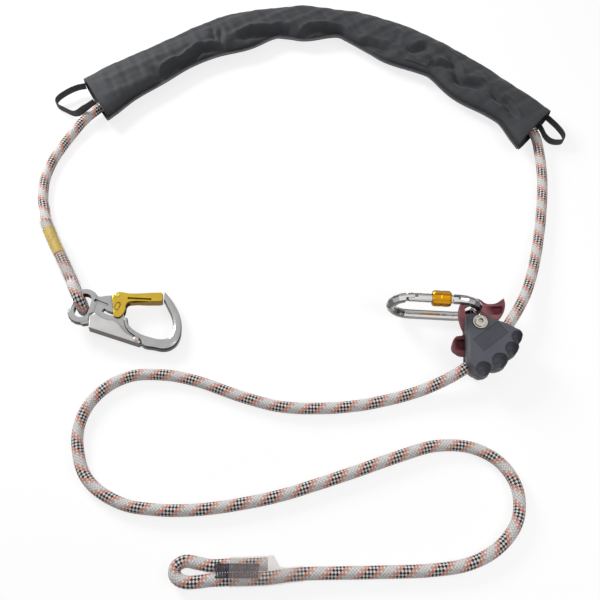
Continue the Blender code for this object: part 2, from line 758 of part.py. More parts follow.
def make_splice_label(looks, frames):
    """The label wraps the upper strand, between the rope and the clear cover."""
    total = len(frames) - 1
    first = round(total * LABEL_START_SHARE)
    last = first + round(total * LABEL_LENGTH_SHARE)
    half_wrap = LABEL_WRAP_DEGREES / 2
    low = ROPE_RADIUS + SEAT_GAP
    outside = arc_points((0, 0), low + LABEL_THICKNESS, 90 - half_wrap, 2 * half_wrap, LABEL_STEPS)
    inside = arc_points((0, 0), low, 90 + half_wrap, -2 * half_wrap, LABEL_STEPS)
    rings = []
    for point, side, above in frames[first : last + 1]:
        top = point + above * STRAND_RISE
        rings.append([top + side * x + above * y for x, y in outside + inside])
    add_object("splice_label", loft("splice_label", rings), looks["label"])


def make_hook_splice(looks):
    lower, upper = splice_strands()
    main = lifted(MAIN_ROUTE[:2])
    at_splice = heading(lower[0], main[1])
    start = main[0] - at_splice * SEAT_GAP
    route = stubbed([start] + lower, start=-at_splice) + eye_turn(lower[-1]) + upper[::-1]
    cord("hook_eye_rope", route, ROPE_DIAMETER, looks["rope"])

    covered = smooth_route(lower[SPLICE_END_POINT : SPLICE_START_POINT + 1], ROPE_DIAMETER)
    frames = frames_along(covered)
    radius = ROPE_RADIUS + SPLICE_COVER_CLEARANCE
    inner = [stadium_ring(f, radius, STRAND_RISE) for f in frames]
    outer = [stadium_ring(f, radius + COVER_WALL, STRAND_RISE) for f in frames]
    cover = open_tube("hook_splice_cover", outer, inner)
    add_object("hook_splice_cover", cover, looks["clear_cover"])
    make_splice_label(looks, frames)


def make_end_stitching(looks, rope_height):
    """Rows of thread over both strands, as a ridged pad."""
    ridge = STITCHING_LENGTH / STITCHING_RIDGES
    half = STITCHING_WIDTH / 2
    rings = []
    for i in range(2 * STITCHING_RIDGES + 1):
        x = -STITCHING_LENGTH / 2 + ridge * i / 2
        crest = STITCHING_HEIGHT if i % 2 else STITCHING_HEIGHT / 2
        low = [Vector((x, -half, 0)), Vector((x, half, 0))]
        high = [Vector((x, half - crest / 2, crest)), Vector((x, -half + crest / 2, crest))]
        rings.append(low + high)
    pad = loft("end_stitching", rings, smooth_degrees=20.0)
    top = rope_height + ROPE_RADIUS + SEAT_GAP
    add_object("end_stitching", pad, looks["thread"], location=(*STITCHING_CENTRE, top))


def end_cover_places(strands, rope_height):
    """Points on the strand that runs on, each with how far the cover reaches to the other."""
    beyond = strands[-1].x + ROPE_RADIUS
    first_step = (beyond, strands[2].y + ROPE_RADIUS * END_COVER_DRIFT_SHARES[0], rope_height)
    second_step = (beyond + ROPE_RADIUS, strands[1].y + ROPE_RADIUS * END_COVER_DRIFT_SHARES[1], rope_height)
    tip_x = strands[0].x - ROPE_RADIUS * END_COVER_TIP_SHARE
    tip = (tip_x, strands[0].y + ROPE_RADIUS * END_COVER_DRIFT_SHARES[2], rope_height)
    points = strands[4:1:-1] + [Vector(first_step), Vector(second_step), strands[1], Vector(tip)]
    return list(zip(points, END_COVER_WIDTH_SHARES))


def make_end_cover(looks, strands, rope_height):
    """A clear cover round both strands, then stepped down to the one that runs on."""
    up = ROPE_RADIUS + SEAT_GAP + STITCHING_HEIGHT + END_COVER_CLEARANCE
    down = ROPE_RADIUS + END_COVER_CLEARANCE - SEAT_GAP
    spread = (strands[4] - strands[-3]).length
    inner, outer = [], []
    for point, width_share in end_cover_places(strands, rope_height):
        reach = spread * width_share / 2
        half = ROPE_RADIUS + END_COVER_CLEARANCE + reach
        room = down + (up - down) * width_share
        frame = (point + Vector((0, reach, 0)), Vector((0, 1, 0)), Vector((0, 0, 1)))
        inner.append(squared_ring(frame, half, room, down))
        sizes = [size + END_COVER_WALL for size in (half, room, down)]
        outer.append(squared_ring(frame, *sizes))
    add_object("end_splice_cover", open_tube("end_splice_cover", outer, inner), looks["clear_cover"])


def make_end_splice(looks):
    tail = lifted(TAIL_ROUTE[-2:])
    height = tail[-1].z
    at_end = heading(tail[0], END_EYE_ROUTE[0])
    strands = [tail[-1] + at_end * SEAT_GAP] + [flat(p, height) for p in END_EYE_ROUTE]
    points = stubbed(smooth_route(strands, ROPE_DIAMETER), start=at_end)
    cord("end_eye_rope", points, ROPE_DIAMETER, looks["rope"])
    make_end_stitching(looks, height)
    make_end_cover(looks, strands, height)


def sleeve_frames():
    """Frames along the sleeve and half of its flat width at each, with a ring at each hem's edge."""
    stations = smooth_route(SLEEVE_STATIONS, ROPE_DIAMETER)
    total = len(stations) - 1
    hem = HEM_WIDTH / ROPE_DIAMETER
    marks = np.concatenate(([0], np.linspace(hem, total - hem, SLEEVE_RINGS - 2), [total]))
    axes = [np.interp(marks, range(len(stations)), [s[k] for s in stations]) for k in range(3)]
    height = HEM_THICKNESS + 2 * SEAT_GAP + SLEEVE_HEIGHT / 2
    centres = [Vector((x, y, height)) for x, y in zip(axes[0], axes[1])]
    return frames_along(centres), axes[2]


def end_skew(ring):
    """How far a ring near an end is turned off square, as a slope."""
    to_left = max(0, 1 - ring / SKEWED_RINGS)
    to_right = max(0, 1 - (SLEEVE_RINGS - 1 - ring) / SKEWED_RINGS)
    degrees = LEFT_END_SKEW_DEGREES * to_left + RIGHT_END_SKEW_DEGREES * to_right
    return math.tan(math.radians(degrees))


def fold_share(along, across, rise):
    """How far the main folds draw in the top of the sleeve, as a share of its height."""
    wave = 1.0
    for folds, slant in zip(FOLD_COUNTS, FOLD_SLANTS):
        wave += math.sin(math.tau * folds * along + slant * across) / len(FOLD_COUNTS)
    return FOLD_DEPTH_SHARE * wave / 2 * max(0, rise)


def sleeve_ring(frame, half_width, wall, along):
    """One ring of the sleeve, drawn in by its wall's thickness."""
    point, side, above = frame
    ring = []
    for i in range(SLEEVE_RING_POINTS):
        angle = math.tau * i / SLEEVE_RING_POINTS
        across, rise = math.cos(angle), math.sin(angle)
        wide = (half_width - wall) * math.copysign(abs(across) ** FLANK_SHARE, across)
        tall = (SLEEVE_HEIGHT / 2 - wall) * math.copysign(abs(rise) ** CROWN_SHARE, rise)
        ring.append(point + side * wide + above * tall * (1 - fold_share(along, across, rise)))
    return ring


def sleeve_rings():
    """Outer and inner rings of the sleeve, with its main folds, and the frames that carry them."""
    frames, half_widths = sleeve_frames()
    outer, inner = [], []
    for r, (frame, half_width) in enumerate(zip(frames, half_widths)):
        point, side, above = frame
        skewed = (point, side + above.cross(side) * end_skew(r), above)
        along = r / (SLEEVE_RINGS - 1)
        outer.append(sleeve_ring(skewed, half_width, 0, along))
        inner.append(sleeve_ring(skewed, half_width, SLEEVE_WALL, along))
    return frames, half_widths, outer, inner


def between(first, second, share):
    """A ring between two others."""
    return [a.lerp(b, share) for a, b in zip(first, second)]


def make_sleeve_lengths(looks, frames, outer, inner):
    """The sleeve's long middle and its two open ends, a seat's gap apart."""
    left, right = SLEEVE_END_RINGS, SLEEVE_RINGS - 1 - SLEEVE_END_RINGS
    share = SEAT_GAP / (frames[left + 1][0] - frames[left][0]).length
    lengths = []
    for rings in (outer, inner):
        first = between(rings[left], rings[left + 1], share)
        last = between(rings[right], rings[right - 1], share)
        lengths.append((rings[: left + 1], [first] + rings[left + 1 : right] + [last], rings[right:]))
    names = ("sleeve_end_left", "sleeve", "sleeve_end_right")
    for name, out_rings, in_rings in zip(names, *lengths):
        add_object(name, open_tube(name, out_rings, in_rings), looks["fabric"])


def make_hem(name, rings, looks):
    """A band round one end of the sleeve, from (centre, half width, ring) at each of its edges."""
    grown = [[], []]
    for centre, half_width, ring in rings:
        offsets = [p - centre for p in ring]
        for found, more in zip(grown, (SEAT_GAP, SEAT_GAP + HEM_THICKNESS)):
            wider, taller = 1 + more / half_width, 1 + more / (SLEEVE_HEIGHT / 2)
            found.append([centre + flat(d * wider, d.z * taller) for d in offsets])
    add_object(name, open_tube(name, grown[1], grown[0]), looks["fabric"])


def make_seam(looks, frames, half_widths):
    """The seam is a flat piped edge along the side of the sleeve that faces the hook."""
    drop = SLEEVE_HEIGHT * (1 / 2 - SEAM_HEIGHT_SHARE)
    half = SEAM_THICKNESS / 2
    rings = []
    for frame, half_width in list(zip(frames, half_widths))[SEAM_INSET_RINGS:-SEAM_INSET_RINGS]:
        point, side, above = frame
        start = point + side * (half_width + SEAT_GAP) - above * drop
        edge = start + side * (SEAM_WIDTH - half)
        tip = start + side * SEAM_WIDTH
        below, over = [start - above * half, edge - above * half], [edge + above * half, start + above * half]
        rings.append(below + [tip] + over)
    add_object("sleeve_seam", loft("sleeve_seam", rings), looks["piping"])


def make_tag(looks, frames, outer):
    """A bare tag lies on the facet above the seam, a seat's gap off the fabric."""
    middle_ring = (SLEEVE_RINGS - 1) * TAG_PLACE_SHARE
    spacing = (frames[round(middle_ring)][0] - frames[round(middle_ring) - 1][0]).length
    reach = TAG_LENGTH / 2 / spacing
    rings = []
    for place in np.linspace(middle_ring - reach, middle_ring + reach, TAG_STEPS):
        before, share = int(place), place % 1
        ring, following = outer[before], outer[before + 1]
        low, high = [ring[i].lerp(following[i], share) for i in (TAG_LOW_INDEX, TAG_HIGH_INDEX)]
        across = (high - low).normalized()
        along = (following[TAG_LOW_INDEX] - ring[TAG_LOW_INDEX]).normalized()
        normal = across.cross(along) if across.cross(along).z > 0 else along.cross(across)
        centre = (low + high) / 2
        edges = [centre - across * (TAG_WIDTH / 2), centre + across * (TAG_WIDTH / 2)]
        under = [p + normal * SEAT_GAP for p in edges]
        rings.append(under + [p + normal * TAG_THICKNESS for p in reversed(under)])
    add_object("sleeve_tag", loft("sleeve_tag", rings, smooth_degrees=30.0), looks["tag"])


def make_sleeve(looks):
    frames, half_widths, outer, inner = sleeve_rings()
    make_sleeve_lengths(looks, frames, outer, inner)
    for name, pair in (("sleeve_hem_left", (0, 1)), ("sleeve_hem_right", (-2, -1))):
        make_hem(name, [(frames[r][0], half_widths[r], outer[r]) for r in pair], looks)
    make_seam(looks, frames, half_widths)
    make_tag(looks, frames, outer)


def make_pull_loop(name, route, looks):
    high, wide = WEBBING_WIDTH / 2, WEBBING_THICKNESS / 2
    corners = ((-high, -wide), (-high, wide), (high, wide), (high, -wide))
    rings = []
    for point, side, above in frames_along(smooth_route(route, WEBBING_WIDTH / 2)):
        rings.append([point + above * rise + side * out for rise, out in corners])
    add_object(name, loft(name, rings, smooth_degrees=30.0), looks["webbing"])


def rod(name, radius, low, high, sides=16):
    """A plain round rod about z."""
    return turned(name, [(0, low), (radius, low), (radius, high), (0, high)], sides)


def rivet(name, parent, place, half_grip, looks):
    """A rivet across a piece: a shank with a low head on each side."""
    shank, head = HOOK_RIVET_DIAMETER / 2, HOOK_RIVET_HEAD_DIAMETER / 2
    top = half_grip + SEAT_GAP
    crown = top + HOOK_RIVET_HEAD_HEIGHT
    edge = top + HOOK_RIVET_HEAD_HEIGHT / 2
    flat_top = head * HOOK_RIVET_CROWN_SHARE
    upper = [(shank, top), (head, top), (head, edge), (flat_top, crown), (0, crown)]
    profile = [(r, -z) for r, z in reversed(upper)] + upper
    return add_object(name, turned(name, profile, 16), looks["gold"], parent, (*place, 0))


def hole_cutter(name, parent, place, diameter, half_depth):
    mesh = prism(name, circle_points((0, 0), diameter / 2, 16), -half_depth, half_depth)
    return add_object(name, mesh, parent=parent, location=(*place, 0))


def on_hook(shares, origin=(0, 0)):
    """A place on the hook in metres, from an origin, for shares of its length."""
    return (shares[0] * HOOK_LENGTH - origin[0], shares[1] * HOOK_LENGTH - origin[1], *shares[2:])


# Levels through the hook's thickness
HOOK_OUTSIDE = HOOK_BAR_THICKNESS / 2 + CUT_OVERRUN
HALF_PLATE = HOOK_PLATE_THICKNESS / 2
CHEEK_INSIDE = HALF_PLATE + SEAT_GAP
CHEEK_TOP = CHEEK_INSIDE + HOOK_CHEEK_THICKNESS
RIVET_HOLE = HOOK_RIVET_DIAMETER + 2 * SEAT_GAP
RIVET_BORE = HOOK_RIVET_DIAMETER + 2 * TURNING_GAP
GATE_PLACE = on_hook(HOOK_GATE_PIVOT_SHARES)
LEVER_PLACE = on_hook(HOOK_LEVER_PIVOT_SHARES)
GATE_PIN_RADIUS = HOOK_LENGTH * GATE_PIN_RADIUS_SHARE


def both_faces(depth_level):
    """The two height ranges that cut a flat piece's upper and lower face to one depth."""
    return (("upper", depth_level, HOOK_OUTSIDE), ("lower", -HOOK_OUTSIDE, -depth_level))


def place_hook():
    """Empties for the rope's axis in the hook's ring and for the hook's own middle plane."""
    height = EYE_MIDDLE - HOOK_EYE_DROP
    drop = height - HOOK_BAR_THICKNESS / 2 - SEAT_GAP
    pitch = math.atan(drop / (HOOK_REST_SHARE * HOOK_LENGTH))
    swing = add_empty("hook_swing_axis", (*HOOK_EYE_AXIS, height), (0, pitch, 0))
    offset = [-s * HOOK_LENGTH for s in ROPE_IN_EYE_SHARES]
    return add_empty("hook_centre", (*offset, 0), parent=swing)


def add_hook_ring(frame, hook):
    """The ring for the rope: a rounded band round an oval eye."""
    tilt = math.radians(90 + HOOK_EYE_TILT_DEGREES)
    reach = HOOK_LENGTH * HOOK_EYE_SLOT_SHARE / 2
    middle = on_hook(HOOK_EYE_CENTRE_SHARES)
    ends = [
        (middle[0] + k * reach * math.cos(tilt), middle[1] + k * reach * math.sin(tilt)) for k in (-1, 1)
    ]
    bore = ROPE_DIAMETER + 2 * EYE_CLEARANCE
    outline = slot_points(*ends, bore + 2 * HOOK_RING_WIDTH, EYE_STEPS)
    rounding = HOOK_RING_WIDTH * HOOK_RING_ROUNDING_SHARE
    ring = slab("hook_ring", outline, HOOK_RING_THICKNESS, rounding, resolution=1)
    join(frame, add_object("hook_ring", ring, parent=hook))
    opening = [p[:2] for p in slot_points(*ends, bore, EYE_STEPS)]
    eye = prism("hook_eye_cut", opening, -HOOK_OUTSIDE, HOOK_OUTSIDE)
    cut(frame, add_object("hook_eye_cut", eye, parent=hook))


def cut_arc_slot(frame, hook):
    """An arc slot guides the gate's pin."""
    wide = HOOK_RIVET_DIAMETER / 2 + TURNING_GAP
    margin = math.degrees(wide / GATE_PIN_RADIUS)
    start = GATE_PIN_REST_DEGREES + margin
    sweep = -(GATE_PIN_TRAVEL_DEGREES + 2 * margin)
    far_side = arc_points(GATE_PLACE, GATE_PIN_RADIUS + wide, start, sweep, 8)
    near_side = arc_points(GATE_PLACE, GATE_PIN_RADIUS - wide, start + sweep, -sweep, 8)
    arc = prism("gate_arc_slot", far_side + near_side, -HOOK_OUTSIDE, HOOK_OUTSIDE)
    cut(frame, add_object("gate_arc_slot", arc, parent=hook))


def make_hook_frame(looks, hook):
    """A web, a thicker round-edged bar with a flat nose, and a ring."""
    outline = sized(HOOK_PLATE_SHARES, HOOK_LENGTH)
    plate = slab("hook_frame", outline, HOOK_PLATE_THICKNESS, HOOK_EDGE_ROUNDING)
    frame = add_object("hook_frame", plate, looks["aluminium"], hook)
    outline = sized(HOOK_BAR_SHARES, HOOK_LENGTH)
    bar = slab("hook_bar", outline, HOOK_BAR_THICKNESS, HOOK_LENGTH * HOOK_BAR_ROUNDING_SHARE, resolution=4)
    join(frame, add_object("hook_bar", bar, parent=hook))
    add_hook_ring(frame, hook)
    low, high = on_hook(HOOK_NOSE_LOW_SHARES), on_hook(HOOK_NOSE_HIGH_SHARES)
    nose = box("nose_face", (*low, -HOOK_OUTSIDE), (*high, HOOK_OUTSIDE))
    cut(frame, add_object("nose_face", nose, parent=hook))
    for name, place in (("gate_rivet_hole", GATE_PLACE), ("lever_rivet_hole", LEVER_PLACE)):
        cut(frame, hole_cutter(name, hook, place, RIVET_HOLE, HOOK_OUTSIDE))
    cut_arc_slot(frame, hook)
    slot = slot_points(*[on_hook(p) for p in PLATE_SLOT_SHARES], PLATE_SLOT_WIDTH)
    recess = prism("web_recess", [p[:2] for p in slot], HALF_PLATE - PLATE_SLOT_DEPTH, HOOK_OUTSIDE)
    cut(frame, add_object("web_recess", recess, parent=hook))
    relief = sized(LEVER_RELIEF_SHARES, HOOK_LENGTH)
    for face, low, high in both_faces(HALF_PLATE):
        name = f"lever_relief_{face}"
        cut(frame, add_object(name, prism(name, relief, low, high), parent=hook))


def cut_gate_reliefs(gate, axis):
    """A long pocket along the arm and an oval groove on the leg, on both cheeks."""
    pocket = [on_hook(p, GATE_PLACE) for p in GATE_POCKET_SHARES]
    for face, low, high in both_faces(CHEEK_TOP - GATE_POCKET_DEPTH):
        name = f"gate_pocket_{face}"
        cut(gate, add_object(name, prism(name, pocket, low, high), parent=axis))
    oval = [on_hook(p, GATE_PLACE) for p in GATE_OVAL_SHARES]
    widths = (GATE_OVAL_WIDTH, GATE_OVAL_WIDTH - 2 * GATE_OVAL_GROOVE)
    for face, low, high in both_faces(CHEEK_TOP - GATE_OVAL_DEPTH):
        outlines = [slot_points(*oval, width) for width in widths]
        rings = [[[Vector((p[0], p[1], z)) for p in points] for z in (low, high)] for points in outlines]
        name = f"gate_oval_{face}"
        cut(gate, add_object(name, open_tube(name, *rings), parent=axis))


def make_hook_gate(looks, hook):
    """Two cheeks over the web, solid from the mouth to the nose, with a pin in the arc slot."""
    axis = add_empty("hook_gate_axis", (*GATE_PLACE, 0), parent=hook)
    outline = [on_hook(p, GATE_PLACE) for p in HOOK_GATE_SHARES]
    body = slab("hook_gate", outline, 2 * CHEEK_TOP, HOOK_EDGE_ROUNDING)
    gate = add_object("hook_gate", body, looks["gold"], axis)
    slot_end = GATE_SLOT_END_SHARE * HOOK_LENGTH - GATE_PLACE[0]
    low, high = (-HOOK_LENGTH, -HOOK_LENGTH, -CHEEK_INSIDE), (slot_end, HOOK_LENGTH, CHEEK_INSIDE)
    cut(gate, add_object("gate_slot", box("gate_slot", low, high), parent=axis))
    cut(gate, hole_cutter("gate_bore", axis, (0, 0), RIVET_BORE, HOOK_OUTSIDE))
    angle = math.radians(GATE_PIN_REST_DEGREES)
    pin_place = (GATE_PIN_RADIUS * math.cos(angle), GATE_PIN_RADIUS * math.sin(angle))
    pin_end = CHEEK_INSIDE + HOOK_CHEEK_THICKNESS * GATE_PIN_REACH_SHARE
    cut(gate, hole_cutter("gate_pin_bore", axis, pin_place, RIVET_HOLE, pin_end + SEAT_GAP))
    cut_gate_reliefs(gate, axis)
    pin = rod("hook_gate_pin", HOOK_RIVET_DIAMETER / 2, -pin_end, pin_end)
    add_object("hook_gate_pin", pin, looks["steel"], axis, (*pin_place, 0))
    rivet("hook_gate_rivet", hook, GATE_PLACE, CHEEK_TOP, looks)


def make_hook_lever(looks, hook):
    """A channel over the spine, its web outside."""
    axis = add_empty("hook_lever_axis", (*LEVER_PLACE, 0), parent=hook)
    outline = [on_hook(p, LEVER_PLACE) for p in HOOK_LEVER_SHARES]
    body = slab("hook_lever", outline, 2 * CHEEK_TOP, HOOK_EDGE_ROUNDING)
    lever = add_object("hook_lever", body, looks["aluminium"], axis)
    back, front = Vector(outline[-1][:2]), Vector(outline[-2][:2])
    along = (front - back).normalized() * HOOK_LENGTH
    across = along.orthogonal()
    web = across.normalized() * LEVER_WEB
    corners = [back + web - along, front + web + along, front + across + along, back + across - along]
    channel = prism("lever_channel", [tuple(c) for c in corners], -CHEEK_INSIDE, CHEEK_INSIDE)
    cut(lever, add_object("lever_channel", channel, parent=axis))
    cut(lever, hole_cutter("lever_bore", axis, (0, 0), RIVET_BORE, HOOK_OUTSIDE))
    rivet("hook_lever_rivet", hook, LEVER_PLACE, CHEEK_TOP, looks)


def make_hook(looks):
    hook = place_hook()
    make_hook_frame(looks, hook)
    make_hook_gate(looks, hook)
    make_hook_lever(looks, hook)


# Levels through the adjuster's thickness, from its middle plane
ADJUSTER_OUTSIDE = ADJUSTER_HALF_THICKNESS + CUT_OVERRUN
ADJUSTER_LOW = -ADJUSTER_HALF_THICKNESS + SEAT_GAP
BOLT_BORE = BOLT_DIAMETER + 2 * SEAT_GAP
BUSH_RADIUS = BOLT_DIAMETER / 2 + SEAT_GAP + BUSH_WALL
NUT_RADIUS = NUT_WIDTH / 2 / math.cos(math.pi / 6)


def on_shell(shares):
    return (shares[0] * SHELL_SIZE, shares[1] * SHELL_SIZE)


def shell_outline():
    """The shell's outline: a plain edge, then lobes with a notch after each but the last."""
    lobes = []
    for centre, degrees in zip(SHELL_LOBE_SHARES, SHELL_LOBE_OUTWARD_DEGREES):
        start = degrees + SHELL_LOBE_SWEEP_DEGREES / 2
        radius = SHELL_LOBE_RADIUS_SHARE * SHELL_SIZE
        lobes.append(arc_points(on_shell(centre), radius, start, -SHELL_LOBE_SWEEP_DEGREES, 4))
    points = sized(SHELL_TOP_EDGE_SHARES, SHELL_SIZE)
    for lobe, following in zip(lobes, lobes[1:]):
        notch = [(a + b) / 2 * SHELL_NOTCH_SHARE for a, b in zip(lobe[-1], following[0])]
        points += lobe + [tuple(notch)]
    return points + lobes[-1] + sized(SHELL_END_SHARES, SHELL_SIZE)


def rope_cutter(name, parent):
    """A tube round the rope's path through the adjuster, in the adjuster's own frame."""
    main, tail = rope_points()
    origin = Vector((*ADJUSTER_AXIS, ADJUSTER_HALF_THICKNESS))
    points = [p - origin for p in main[-4:] + tail[1:5]]
    rings = [round_ring(f, ROPE_RADIUS + ROPE_CHANNEL_CLEARANCE, 14) for f in frames_along(points)]
    return add_object(name, loft(name, rings), parent=parent)


def cam_room_cutter(parent):
    """The cam's room: all of the shells that lies on the cam's side of the rope."""
    half_cam = CAM_THICKNESS / 2 + SEAT_GAP
    reach = 2 * SHELL_SIZE
    path = (MAIN_ROUTE[-4], MAIN_ROUTE[-2], TAIL_ROUTE[0], TAIL_ROUTE[1])
    line = [Vector(p[:2]) - Vector(ADJUSTER_AXIS) for p in path]
    first = line[0] + (line[0] - line[1]).normalized() * reach
    last = line[3] + (line[3] - line[2]).normalized() * reach
    room = [tuple(p) for p in (first, *line, last)] + [(-reach, reach)]
    return add_object("cam_room", prism("cam_room", room, -half_cam, half_cam), parent=parent)


def screw_places():
    """Two places for screws on the lobed side, clear of the rope's channel."""
    main, tail = rope_points()
    reach = ROPE_RADIUS + ROPE_CHANNEL_CLEARANCE + SHELL_SCREW_WALL + SHELL_SCREW_DIAMETER / 2
    places = []
    for start, end in ((main[-2], main[-1]), (tail[1], tail[2])):
        along = heading(start, end)
        outward = Vector((-along.y, along.x, 0))
        place = start.lerp(end, SHELL_SCREW_SHARE) + outward * reach
        places.append((place.x - ADJUSTER_AXIS[0], place.y - ADJUSTER_AXIS[1]))
    return places


def front_block(name):
    """The front's block: its edge rounded, its flat inner face just off the middle plane."""
    body = slab(name, shell_outline(), 2 * ADJUSTER_HALF_THICKNESS, SHELL_ROUNDING, resolution=2)
    for vertex in body.vertices:
        if vertex.co.z < 0:
            vertex.co.z = SHELL_JOINT_GAP / 2
    return body


def back_block(name):
    """The back's block: the same outline, drawn in step by step towards its flat underside."""
    outline = [flat(p) for p in shell_outline()]
    points = smooth_route(outline + outline[:1], SHELL_BACK_SPACING)[:-1]
    centre = flat(on_shell(SHELL_BACK_CENTRE_SHARES))
    top = -SHELL_JOINT_GAP / 2
    rings = []
    for depth_share, outline_share in SHELL_BACK_SHARES:
        height = top + (-ADJUSTER_HALF_THICKNESS - top) * depth_share
        rings.append([flat(centre.lerp(p, outline_share), height) for p in points])
    return loft(name, rings)


def cut_scoops(shell, adjuster):
    """A bowl-shaped finger scoop over each lobe of the front."""
    depth = SCOOP_DEPTH_SHARE * SHELL_SIZE
    for index, (x, y, share) in enumerate(SCOOP_SHARES):
        radius = share * SHELL_SIZE
        angles = [math.radians(90 * i / SCOOP_STEPS) for i in range(SCOOP_STEPS + 1)]
        bowl = [(radius * math.sin(a), -depth * math.cos(a)) for a in angles]
        profile = bowl + [(radius, CUT_OVERRUN), (0, CUT_OVERRUN)]
        name = f"scoop_{index}"
        place = (*on_shell((x, y)), ADJUSTER_HALF_THICKNESS)
        cut(shell, add_object(name, turned(name, profile), parent=adjuster, location=place))


def cut_panel(shell, adjuster):
    """A shallow bare panel on the front."""
    tilt = math.radians(PANEL_TILT_DEGREES)
    wide, tall = on_shell(PANEL_SIZE_SHARES)
    centre = on_shell(PANEL_CENTRE_SHARES)
    corners = []
    for x, y in ((-wide / 2, -tall / 2), (wide / 2, -tall / 2), (wide / 2, tall / 2), (-wide / 2, tall / 2)):
        turned_x = x * math.cos(tilt) - y * math.sin(tilt)
        turned_y = x * math.sin(tilt) + y * math.cos(tilt)
        corners.append((centre[0] + turned_x, centre[1] + turned_y))
    panel = prism("panel_recess", corners, ADJUSTER_HALF_THICKNESS - PANEL_DEPTH, ADJUSTER_OUTSIDE)
    cut(shell, add_object("panel_recess", panel, parent=adjuster))


def cut_back(shell, adjuster):
    """Room in the back for the nut and for the screws' heads."""
    hexagon = circle_points((0, 0), NUT_RADIUS + TURNING_GAP, 24)
    depth = NUT_HEIGHT + 2 * SEAT_GAP
    recess = prism("nut_recess", hexagon, -ADJUSTER_OUTSIDE, -ADJUSTER_HALF_THICKNESS + depth)
    cut(shell, add_object("nut_recess", recess, parent=adjuster))
    radius = SHELL_SCREW_HEAD_DIAMETER / 2 + SEAT_GAP
    depth = SHELL_SCREW_HEAD_HEIGHT + 2 * SEAT_GAP
    for index, place in enumerate(screw_places()):
        name = f"screw_head_room_{index}"
        room = circle_points(place, radius, 16)
        head = prism(name, room, -ADJUSTER_OUTSIDE, -ADJUSTER_HALF_THICKNESS + depth)
        cut(shell, add_object(name, head, parent=adjuster))


def make_shell(name, block, looks, adjuster, rope_room, cam_room):
    shell = add_object(name, block, looks["shell"], adjuster)
    cut(shell, rope_room)
    cut(shell, cam_room)
    cut(shell, hole_cutter(name + "_bolt_hole", adjuster, (0, 0), BOLT_BORE, ADJUSTER_OUTSIDE))
    top = SHELL_SCREW_DEPTH - ADJUSTER_HALF_THICKNESS + SEAT_GAP
    radius = SHELL_SCREW_DIAMETER / 2 + SEAT_GAP
    for index, place in enumerate(screw_places()):
        screw = f"{name}_screw_{index}"
        bore = prism(screw, circle_points(place, radius, 12), -ADJUSTER_OUTSIDE, top)
        cut(shell, add_object(screw, bore, parent=adjuster))
    return shell


def make_shell_screws(looks, adjuster):
    shank, head = SHELL_SCREW_DIAMETER / 2, SHELL_SCREW_HEAD_DIAMETER / 2
    neck = ADJUSTER_LOW + SHELL_SCREW_HEAD_HEIGHT
    end = SHELL_SCREW_DEPTH - ADJUSTER_HALF_THICKNESS
    profile = [(0, ADJUSTER_LOW), (head, ADJUSTER_LOW), (head, neck), (shank, neck), (shank, end), (0, end)]
    for index, place in enumerate(screw_places(), 1):
        name = f"shell_screw_{index}"
        add_object(name, turned(name, profile, 16), looks["steel"], adjuster, (*place, 0))


def make_bolt(looks, adjuster):
    """The bolt with its socket, the washer under its head and the nut in the back."""
    under_head = ADJUSTER_HALF_THICKNESS + WASHER_THICKNESS + 2 * SEAT_GAP
    top = under_head + BOLT_HEAD_HEIGHT
    shank, head, socket = BOLT_DIAMETER / 2, BOLT_HEAD_DIAMETER / 2, BOLT_SOCKET_DIAMETER / 2
    profile = [
        (0, ADJUSTER_LOW), (shank, ADJUSTER_LOW), (shank, under_head), (head, under_head),
        (head, top - BOLT_HEAD_HEIGHT / 2), (head * BOLT_CROWN_SHARE, top), (socket, top),
        (socket, top - BOLT_SOCKET_DEPTH), (0, top - BOLT_SOCKET_DEPTH),
    ]
    add_object("adjuster_bolt", turned("adjuster_bolt", profile), looks["steel"], adjuster)
    low = ADJUSTER_HALF_THICKNESS + SEAT_GAP
    high = low + WASHER_THICKNESS
    bore, edge = shank + SEAT_GAP, WASHER_DIAMETER / 2
    washer = turned("adjuster_washer", [(bore, low), (edge, low), (edge, high), (bore, high)])
    add_object("adjuster_washer", washer, looks["steel"], adjuster)
    hexagon = circle_points((0, 0), NUT_RADIUS, 6)
    block = prism("adjuster_nut", hexagon, ADJUSTER_LOW, ADJUSTER_LOW + NUT_HEIGHT)
    nut = add_object("adjuster_nut", block, looks["steel"], adjuster)
    cut(nut, hole_cutter("nut_bore", adjuster, (0, 0), BOLT_BORE, ADJUSTER_OUTSIDE))


def make_cam(looks, adjuster):
    cam_axis = add_empty("cam_axis", (0, 0, 0), parent=adjuster)
    body = slab("cam", sized(CAM_SHARES, SHELL_SIZE), CAM_THICKNESS, CAM_EDGE_ROUNDING)
    cam = add_object("cam", body, looks["maroon"], cam_axis)
    cut(cam, rope_cutter("cam_rope_clearance", adjuster))
    cut(cam, hole_cutter("cam_bore", cam_axis, (0, 0), 2 * (BUSH_RADIUS + TURNING_GAP), ADJUSTER_OUTSIDE))
    radius = KARABINER_BAR / 2 + CAM_EYE_CLEARANCE
    opening = circle_points(on_shell(CAM_EYE_SHARES), radius, 24)
    eye = prism("cam_eye", opening, -ADJUSTER_OUTSIDE, ADJUSTER_OUTSIDE)
    cut(cam, add_object("cam_eye", eye, parent=cam_axis))
    floor = CAM_THICKNESS / 2 - CAM_POCKET_DEPTH
    for label, shares in (("horn", CAM_HORN_POCKET_SHARES), ("foot", CAM_FOOT_POCKET_SHARES)):
        for side in (-1, 1):
            levels = sorted((side * floor, side * ADJUSTER_OUTSIDE))
            name = f"cam_{label}_pocket_{side}"
            pocket = prism(name, sized(shares, SHELL_SIZE), *levels)
            cut(cam, add_object(name, pocket, parent=cam_axis))
    return cam_axis


